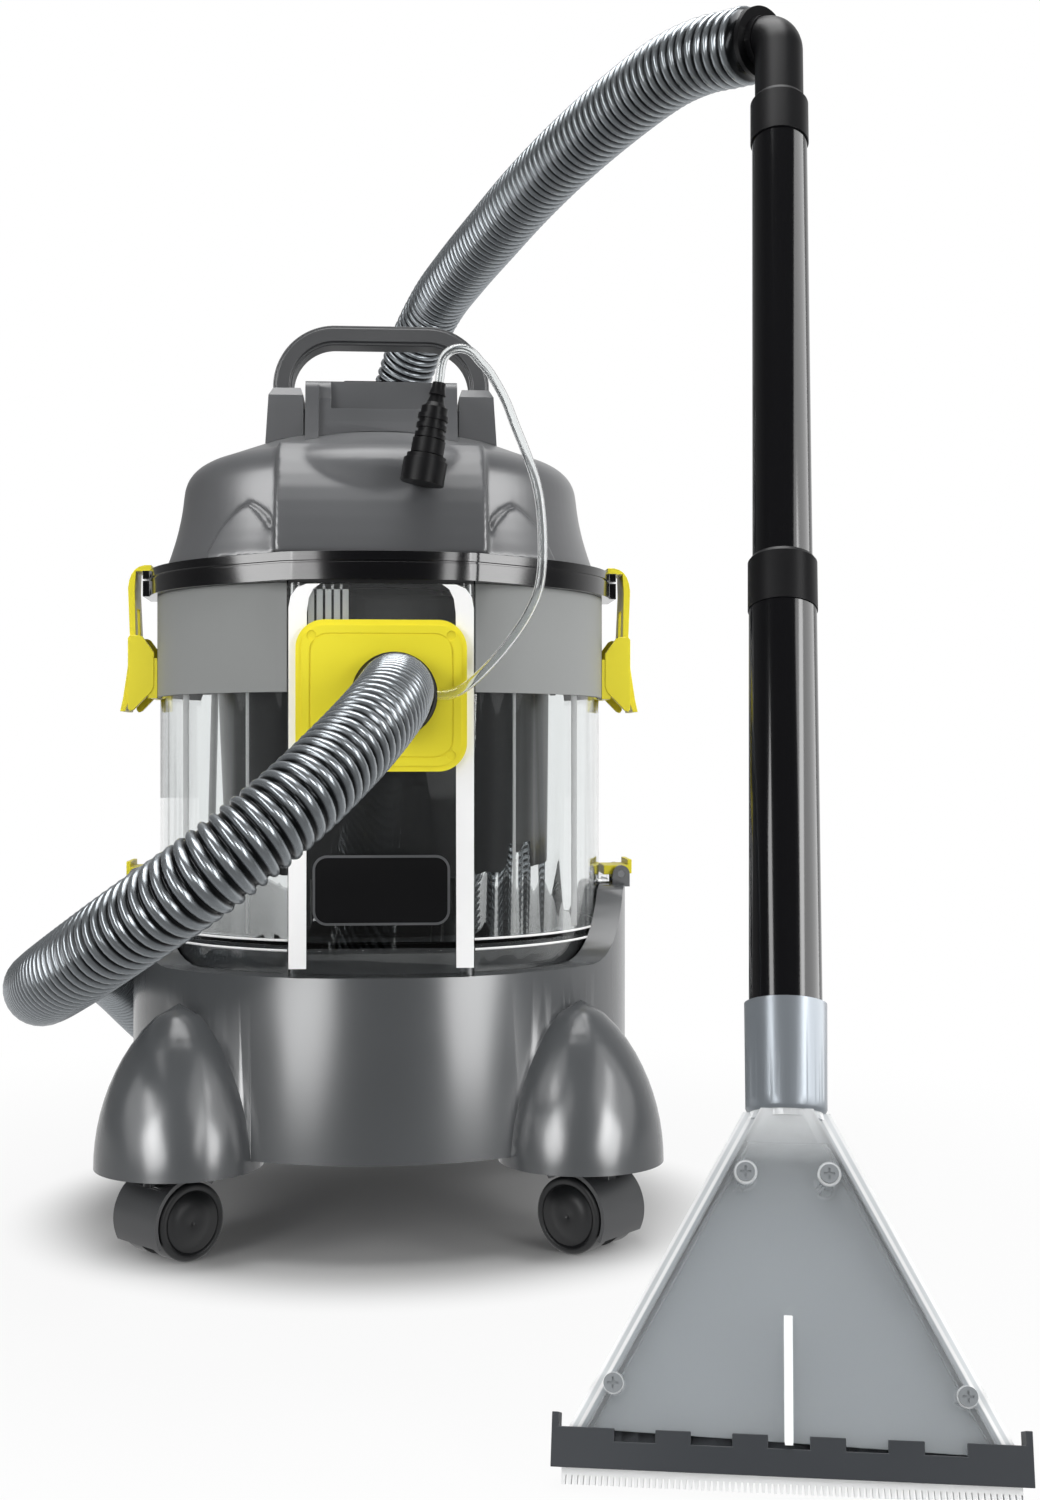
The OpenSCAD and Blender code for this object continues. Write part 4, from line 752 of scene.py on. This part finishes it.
# ------------------------------------------------------------------ base and casters
class EXTRACTOR_OT_base(bpy.types.Operator):
    """Finishes the base moulding and the two clips that hold the tank on it"""
    bl_idname = "extractor.base"
    bl_label = "Base"

    def execute(self, context):
        softened("base_shell", moulded_base(), settings().sizes.edge)
        for side in SIDES:
            softened(f"base_clip_{side}", moulded_yellow())
        paint(zinc_steel(), "base_clip_pins")
        return {"FINISHED"}


class EXTRACTOR_OT_casters(bpy.types.Operator):
    """Finishes the four twin-wheel casters"""
    bl_idname = "extractor.casters"
    bl_label = "Casters"

    def execute(self, context):
        paint(zinc_steel(), "caster_stems")
        for end in ("front", "back"):
            for side in SIDES:
                softened(f"caster_hood_{end}_{side}", caster_nylon())
                for place in ("inner", "outer"):
                    softened(f"wheel_{end}_{side}_{place}", wheel_tread(), 0, join_faces=False)
        return {"FINISHED"}


# ------------------------------------------------------------------ tank
# Inner radius of the tank's wall, and distance of the front panel's face from the axis
TANK_INSIDE = 152.4
PANEL_FACE = 168.05
# Ribs inside the wall, painted white as painted glints: azimuth and half width of each pair, and
# their foot and top
RIBS = ((34.4, 1.3), (58.6, 3.6))
RIB_FOOT, RIB_TOP = 206, 428
# Outline of the painted glint at the panel's right edge, a white band, as distance to the side
# and height, and how far it stands out
PANEL_GLINT_BAND = ((58, 188), (58, 414), (56.8, 421), (53, 426.5), (47, 429), (38, 429.2), (42.5, 426),
              (45.4, 420), (46.6, 411), (47, 188))
GLINT_BAND_DEPTH = 0.8
# The plain plate: half its width, half its height and its corner, the height of its middle,
# and the width of its border
PLATE = (43, 22, 9)
PLATE_AT = 237
PLATE_BORDER = 1.6
CORNER_STEPS = 8
# Beads round the tank's foot, white as painted glints: heights, half their depth and half their
# height, distance from the axis, and the azimuths between which they run
GLINT_BEADS = (203.5, 197)
BEAD_SECTION = (0.7, 0.8)
BEAD_RADIUS = 156.2
BEAD_FROM, BEAD_TO = 22.5, 118
# Guard in front of the float: number, left edge, spacing and gap of its bars, foot, top and
# the height of the bands there, and its distance from the axis and its depth
GUARD_BARS, GUARD_LEFT, GUARD_PITCH, GUARD_GAP = 5, -46, 5.4, 1.6
GUARD_FOOT, GUARD_TOP, GUARD_BAND = 396, 429, 3
GUARD_AT, GUARD_DEPTH = 164.5, 2.5


class EXTRACTOR_OT_tank(bpy.types.Operator):
    """Finishes the clear tank, its collar, seal and rim"""
    bl_idname = "extractor.tank"
    bl_label = "Tank"

    def execute(self, context):
        softened("tank_shell", tank_polycarbonate())
        softened("tank_collar", moulded_collar())
        softened("tank_rim", polished_black(), settings().sizes.edge)
        paint(seal_rubber(), "rim_seal")
        self.ribs()
        self.guard()
        self.plate()
        return {"FINISHED"}

    def ribs(self):
        """Ribs inside the wall, bands along the front panel's edges, and beads round the foot, all
        white as painted glints."""
        bm = bmesh.new()
        for azimuth, half_width in RIBS:
            section = [(half_width * math.cos(a) * MM, -half_width * math.sin(a) * MM / 2, 0)
                       for a in (math.pi * i / 8 for i in range(9))]
            for side in (-1, 1):
                turn = Matrix.Rotation(math.radians(side * azimuth), 4, "Z")
                inward = Matrix.Translation((0, -(TANK_INSIDE - half_width / 2) * MM, 0))
                rib = push_out(bm, section, (0, 0, (RIB_TOP - RIB_FOOT) * MM))
                bmesh.ops.transform(bm, verts=rib,
                                    matrix=Matrix.Translation(at(0, 0, RIB_FOOT)) @ turn @ inward)
        for side in (-1, 1):
            push_out(bm, [at(side * x, -PANEL_FACE, z) for x, z in PANEL_GLINT_BAND],
                     (0, -GLINT_BAND_DEPTH * MM, 0))
            for height in GLINT_BEADS:
                self.bead(bm, side, height)
        # the ribs, bands and beads are white: painted glints of the clear tank
        addition(bm, "tank_ribs_painted_glints", painted_glint_polycarbonate(), "tank_shell", smooth_angle=50)

    def bead(self, bm, side, height):
        """Adds a thin bead, white as a painted glint, that runs round one side of the tank's foot.
        """
        out, up = BEAD_SECTION
        section = [(math.cos(a) * out * MM, math.sin(a) * up * MM)
                   for a in (2 * math.pi * i / 8 for i in range(8))]
        first = Matrix.Rotation(math.radians(side * BEAD_FROM), 3, "Z")
        ring = [bm.verts.new(at(0, 0, height) + first @ Vector((0, -BEAD_RADIUS * MM + y, z)))
                for y, z in section]
        start = bm.faces.new(ring)
        bmesh.ops.spin(bm, geom=[start], cent=at(0, 0, 0), axis=(0, 0, 1), steps=48,
                       angle=math.radians(side * (BEAD_TO - BEAD_FROM)), use_merge=False)

    def plate(self):
        """A plain plate on the front panel, and a pale plate under it that shows round it
        as a border."""
        for name, border, depth, material, slot in (
                ("panel_plate_border", 0, 0.7, zinc_steel(), "steel"),
                ("panel_plate", PLATE_BORDER, 1.0, satin_black(), "trim_black")):
            bm = bmesh.new()
            wide, high, corner = (value - border for value in PLATE)
            outline = []
            for right, up, first in ((1, 1, 0), (-1, 1, 90), (-1, -1, 180), (1, -1, 270)):
                for step in range(CORNER_STEPS + 1):
                    angle = math.radians(first + 90 * step / CORNER_STEPS)
                    outline.append(at(
                        right * (wide - corner) + corner * math.cos(angle), -PANEL_FACE,
                        PLATE_AT + up * (high - corner) + corner * math.sin(angle)))
            push_out(bm, outline, (0, -depth * MM, 0))
            addition(bm, name, material, "tank_shell")

    def guard(self):
        """White bars behind the panel's top, which keep hair off the float."""
        bm = bmesh.new()
        bars = [GUARD_LEFT + i * GUARD_PITCH for i in range(GUARD_BARS)]
        end = bars[-1] + GUARD_PITCH - GUARD_GAP
        boxes = [(left, left + GUARD_PITCH - GUARD_GAP, GUARD_FOOT, GUARD_TOP) for left in bars]
        boxes += [(GUARD_LEFT, end, GUARD_FOOT, GUARD_FOOT + GUARD_BAND),
                  (GUARD_LEFT, end, GUARD_TOP - GUARD_BAND, GUARD_TOP)]
        for left, right, foot, top in boxes:
            outline = [at(x, -GUARD_AT, z)
                       for x, z in ((left, foot), (right, foot), (right, top), (left, top))]
            push_out(bm, outline, (0, GUARD_DEPTH * MM, 0))
        addition(bm, "float_guard", comb_white(), "tank_shell")


class EXTRACTOR_OT_inlet(bpy.types.Operator):
    """Finishes the inlet plate, its port and the baffle behind it"""
    bl_idname = "extractor.inlet"
    bl_label = "Inlet"

    def execute(self, context):
        softened("inlet_plate", moulded_yellow())
        softened("inlet_port", satin_black())
        paint(inner_black(), "inlet_deflector")
        return {"FINISHED"}


class EXTRACTOR_OT_inside(bpy.types.Operator):
    """Finishes the vessel and fittings inside the tank and the drive inside the head"""
    bl_idname = "extractor.inside"
    bl_label = "Inside"

    def execute(self, context):
        softened("clean_water_tank", inner_black())
        paint(tube_vinyl(), "water_pickup")
        paint(inner_black(), "head_plate", "float_cage", "pump")
        paint(float_foam(), "float")
        paint(cast_aluminium(), "motor", "fan")
        return {"FINISHED"}


# Outline of a latch's cheek as distance to the side and height, its distance from the
# latch's middle, and its wall
CHEEK = ((158, 393), (166, 404), (168, 405), (174.5, 405), (176, 403), (176, 354),
         (174.5, 352), (172, 353), (159.4, 366), (158, 370))
CHEEK_AT, CHEEK_WALL = 21.3, 4.6


class EXTRACTOR_OT_latches(bpy.types.Operator):
    """Finishes the two side latches and their brackets"""
    bl_idname = "extractor.latches"
    bl_label = "Latches"

    def execute(self, context):
        for side in SIDES:
            softened(f"latch_{side}", moulded_yellow())
        softened("latch_brackets", moulded_yellow())
        self.cheeks()
        return {"FINISHED"}

    def cheeks(self):
        """Broad cheeks of the brackets, one on each side of each latch's foot."""
        bm = bmesh.new()
        for side in (-1, 1):
            for end in (-1, 1):
                push_out(bm, [at(side * x, end * CHEEK_AT, z) for x, z in CHEEK],
                         (0, end * CHEEK_WALL * MM, 0))
        made = addition(bm, "latch_cheeks", moulded_yellow(), "latch_brackets")
        round_edges(made, settings().sizes.fine_edge)


# ------------------------------------------------------------------ head
# Size of the faces in the net of the head's shell
HEAD_NET = 1.9 * MM


class EXTRACTOR_OT_head(bpy.types.Operator):
    """Finishes the head, the block on it, the handle and the fittings at the back"""
    bl_idname = "extractor.head"
    bl_label = "Head"

    def execute(self, context):
        sizes = settings().sizes
        self.shell()
        softened("head_top", moulded_head(), sizes.edge)
        softened("carry_handle", moulded_handle(), sizes.edge, segments=3)
        softened("blower_port", satin_black())
        softened("cord_gland", satin_black())
        return {"FINISHED"}

    def shell(self):
        """The head's shell in an even net of faces, so that its edges turn softly."""
        made = softened("head_shell", moulded_head(), 0, join_faces=False)
        net = made.modifiers.new("even_net", "REMESH")
        net.mode = "VOXEL"
        net.voxel_size = HEAD_NET
        net.use_smooth_shade = True
        soft = made.modifiers.new("soft_edges", "SMOOTH")
        soft.factor = 0.5
        soft.iterations = 5


class EXTRACTOR_OT_switches(bpy.types.Operator):
    """Finishes the two rocker switches and their surround"""
    bl_idname = "extractor.switches"
    bl_label = "Switches"

    def execute(self, context):
        softened("switch_bezel", satin_black())
        for side in SIDES:
            softened(f"rocker_{side}", polished_black())
        return {"FINISHED"}


class EXTRACTOR_OT_coupling(bpy.types.Operator):
    """Finishes the spray coupling on the head"""
    bl_idname = "extractor.coupling"
    bl_label = "Spray coupling"

    def execute(self, context):
        softened("coupling_socket", satin_black())
        return {"FINISHED"}


# ------------------------------------------------------------------ wand and nozzle
class EXTRACTOR_OT_wand(bpy.types.Operator):
    """Finishes the wand's tubes, sleeves and elbow"""
    bl_idname = "extractor.wand"
    bl_label = "Wand"

    def execute(self, context):
        for node in ("wand_tube_upper", "wand_tube_lower"):
            softened(node, polished_black())
        for node in ("wand_collar", "wand_sleeve", "hose_elbow"):
            softened(node, satin_black())
        return {"FINISHED"}


class EXTRACTOR_OT_nozzle(bpy.types.Operator):
    """Finishes the clear upholstery nozzle, its jaw, comb and screws"""
    bl_idname = "extractor.nozzle"
    bl_label = "Nozzle"

    def execute(self, context):
        softened("nozzle_socket", socket_grey())
        softened("nozzle_front", nozzle_acrylic())
        softened("nozzle_back", nozzle_smoke())
        softened("nozzle_jaw", jaw_grey())
        paint(comb_white(), "nozzle_lip")
        paint(screw_nickel(), "nozzle_screws")
        return {"FINISHED"}


# ------------------------------------------------------------------ studio
# Radius of the floor in metres, and how far it lies below zero
FLOOR_RADIUS = 12
FLOOR_DROP = 0.2 * MM
# Distances in metres from the tank's axis between which the floor turns white, and by how much
FLOOR_FADES = ((0.175, 0.27, 0.9), (0.27, 0.8, 0.1))
# Distance in metres of most lamps from the tank's axis
FAR = 2.2


def finished(*nodes):
    """The pieces that show those CAD nodes: the new piece, or else the node itself."""
    return [bpy.data.objects.get(name + "_finished") or frame["nodes"][name] for name in nodes]


def lamp(name, place, target, size, watts, gloss=True, only=()):
    """Adds a flat lamp of that size in metres, turned towards its target. It lights all
    pieces, or only the gloss of those given."""
    light = bpy.data.lights.new(name, "AREA")
    light.shape = "RECTANGLE"
    light.size, light.size_y = size
    light.energy = watts
    made = bpy.data.objects.new(name, light)
    made.location = place
    made.rotation_euler = (target - place).to_track_quat("-Z", "Z").to_euler()
    made.visible_camera = False
    made.visible_transmission = False
    made.visible_diffuse = not only
    made.visible_glossy = gloss
    bpy.context.scene.collection.objects.link(made)
    if only:
        lit = bpy.data.collections.new(name + "_lights")
        for item in only:
            lit.objects.link(item)
        made.light_linking.receiver_collection = lit


def round_about(azimuth, distance, height):
    """A place at that azimuth in degrees, where 0 is in front and 90 is to the right,
    and at that distance from the tank's axis and height in metres."""
    angle = math.radians(azimuth)
    return at(distance * math.sin(angle) / MM, -distance * math.cos(angle) / MM, height / MM)


def rays(tree):
    """What is 1 for rays seen straight or through glass, and what is 1 for gloss."""
    path = add(tree, "LightPath")
    seen = add(tree, "Math", {0: path.outputs["Is Camera Ray"],
                              1: path.outputs["Is Transmission Ray"]}, operation="MAXIMUM")
    return seen, path.outputs["Is Glossy Ray"]


class EXTRACTOR_OT_stage(bpy.types.Operator):
    """Makes the pale floor, the soft lamps and the white surroundings"""
    bl_idname = "extractor.stage"
    bl_label = "Studio"

    def floor(self, studio):
        """A round floor that takes shadows near the machine and turns white far away."""
        bm = bmesh.new()
        bmesh.ops.create_circle(bm, cap_ends=True, segments=96, radius=FLOOR_RADIUS,
                                matrix=Matrix.Translation((0, 0, -FLOOR_DROP)))
        material, shader = blank("studio_floor")
        tree = material.node_tree
        wire(shader, {"Base Color": (*studio.floor, 1), "Roughness": 0.6,
                      "Specular IOR Level": 0.15})
        place = add(tree, "TexCoord").outputs["Object"]
        far = add(tree, "VectorMath", {0: place, 1: (AXIS.x, AXIS.y, 0)}, operation="DISTANCE")
        near, wide = (add(tree, "MapRange", {"Value": far.outputs["Value"], "From Min": start,
                                             "From Max": end, "To Max": share},
                          interpolation_type="SMOOTHSTEP") for start, end, share in FLOOR_FADES)
        fade = add(tree, "Math", {0: near, 1: wide}, operation="ADD")
        # gloss sees the floor dim in front, as if a dark flag stood there
        parts = add(tree, "SeparateXYZ", {0: place})
        flag = add(tree, "MapRange", {"Value": parts.outputs["Y"], "From Min": -0.5,
                                      "From Max": 0.3, "To Min": 0.12, "To Max": 1.0})
        seen, glossy = rays(tree)
        faded = add(tree, "Math", {0: seen, 1: fade}, operation="MULTIPLY")
        share = add(tree, "Math", {0: faded, 1: glossy}, operation="MAXIMUM")
        level = add(tree, "Mix", {0: glossy, 2: 1.0, 3: flag})
        white = add(tree, "Emission", {"Color": (1, 1, 1, 1), "Strength": level})
        mixed = add(tree, "MixShader", {0: share, 1: shader, 2: white})
        output = next(n for n in tree.nodes if n.type == "OUTPUT_MATERIAL")
        wire(output, {"Surface": mixed})
        piece(bm, "floor", material)

    def surroundings(self, studio):
        """White all round for the camera and through glass; gloss sees it dim in front."""
        world = bpy.data.worlds.new("surroundings")
        bpy.context.scene.world = world
        world.use_nodes = True
        tree = world.node_tree
        tree.nodes.clear()
        seen, glossy = rays(tree)
        direction = add(tree, "SeparateXYZ", {0: add(tree, "TexCoord").outputs["Generated"]})
        behind = add(tree, "MapRange", {"Value": direction.outputs["Y"], "From Min": -0.1,
                                        "From Max": 0.8, "To Max": 0.9},
                     interpolation_type="SMOOTHSTEP")
        right = add(tree, "MapRange", {"Value": direction.outputs["X"], "From Min": -0.6,
                                       "From Max": 0.3, "To Min": 0.12, "To Max": 1.0},
                    interpolation_type="SMOOTHSTEP")
        both = add(tree, "Math", {0: behind, 1: right}, operation="MULTIPLY")
        bright = add(tree, "Math", {0: both, 1: 0.07}, operation="ADD")
        level = add(tree, "Mix", {0: glossy, 2: studio.fill, 3: bright})
        strength = add(tree, "Math", {0: seen, 1: level}, operation="MAXIMUM")
        light = add(tree, "Background", {"Color": (1, 1, 1, 1), "Strength": strength})
        add(tree, "OutputWorld", {"Surface": light})

    def execute(self, context):
        studio = settings().studio
        context.scene.view_settings.view_transform = "Standard"
        self.floor(studio)
        self.surroundings(studio)
        target = at(0, 0, 380)
        for side, azimuth in zip(SIDES, (-40, 40)):
            lamp("front_" + side, round_about(azimuth, FAR, 0.9), target, (0.45, 1.9), studio.key)
        lamp("right", round_about(92, 1.7, 0.7), at(150, -300, 400), (1.1, 1.8), studio.side,
             gloss=False)
        lamp("overhead", at(0, -200, 2300), at(0, 0, 0), (1.4, 1.4), studio.overhead)
        hose = [bpy.data.objects["ribbed_hose"]]
        base = finished("base_shell", "caster_hood_front_left", "caster_hood_front_right")
        head = finished("head_shell", "head_top", "tank_rim", "carry_handle")
        wand = finished("wand_tube_upper", "wand_tube_lower", "nozzle_socket")
        for side, low, wide in zip(SIDES, (-31.4, 36.1), (-50, 52)):
            lamp("base_gloss_" + side, round_about(low, 0.76, 0.13), at(0, 0, 150), (0.27, 0.3),
                 studio.base_gloss, only=base)
            lamp("bell_gloss_" + side, round_about(wide, FAR, 1.1), target, (2.4, 2.2),
                 studio.bell_gloss, only=base)
        lamp("hose_gloss", round_about(8, FAR, 0.9), at(0, -300, 250), (0.5, 0.6),
             studio.hose_gloss, only=hose)
        for side, azimuth in zip(SIDES, (-62, 62)):
            lamp("head_gloss_" + side, round_about(azimuth, FAR, 1.0), at(0, 0, 480), (1.2, 1.9),
                 studio.head_gloss, only=head)
        lamp("wand_gloss", round_about(72, 1.8, 0.6), at(220, -300, 400), (2.9, 2.2),
             studio.wand_gloss, only=wand)
        return {"FINISHED"}


# ------------------------------------------------------------------ add-on
STEPS = (EXTRACTOR_OT_camera, EXTRACTOR_OT_hose, EXTRACTOR_OT_water_tube, EXTRACTOR_OT_base,
         EXTRACTOR_OT_casters, EXTRACTOR_OT_tank, EXTRACTOR_OT_inlet, EXTRACTOR_OT_inside,
         EXTRACTOR_OT_latches, EXTRACTOR_OT_head, EXTRACTOR_OT_switches, EXTRACTOR_OT_coupling,
         EXTRACTOR_OT_wand, EXTRACTOR_OT_nozzle, EXTRACTOR_OT_stage)


class EXTRACTOR_PT_panel(bpy.types.Panel):
    """Lists the extractor's settings and pieces"""
    bl_idname = "EXTRACTOR_PT_panel"
    bl_label = "Spot extractor"
    bl_space_type = "VIEW_3D"
    bl_region_type = "UI"
    bl_category = "Extractor"

    def draw(self, context):
        for group in ("sizes", "colours", "studio"):
            box = self.layout.box()
            values = getattr(settings(), group)
            for name in values.bl_rna.properties.keys():
                if name not in ("rna_type", "name"):
                    box.prop(values, name)
        for step in STEPS:
            self.layout.operator(step.bl_idname)


CLASSES = (ExtractorColours, ExtractorSizes, ExtractorStudio, ExtractorSettings,
           *STEPS, EXTRACTOR_PT_panel)


def register():
    """Adds the settings, operators and panel to Blender."""
    for item in CLASSES:
        bpy.utils.register_class(item)
    bpy.types.Scene.extractor = PointerProperty(type=ExtractorSettings)


def unregister():
    """Takes them out again."""
    del bpy.types.Scene.extractor
    for item in reversed(CLASSES):
        bpy.utils.unregister_class(item)


def main():
    """Makes every piece in turn."""
    register()
    for step in STEPS:
        group, name = step.bl_idname.split(".")
        getattr(getattr(bpy.ops, group), name)()


if __name__ == "__main__":
    main()
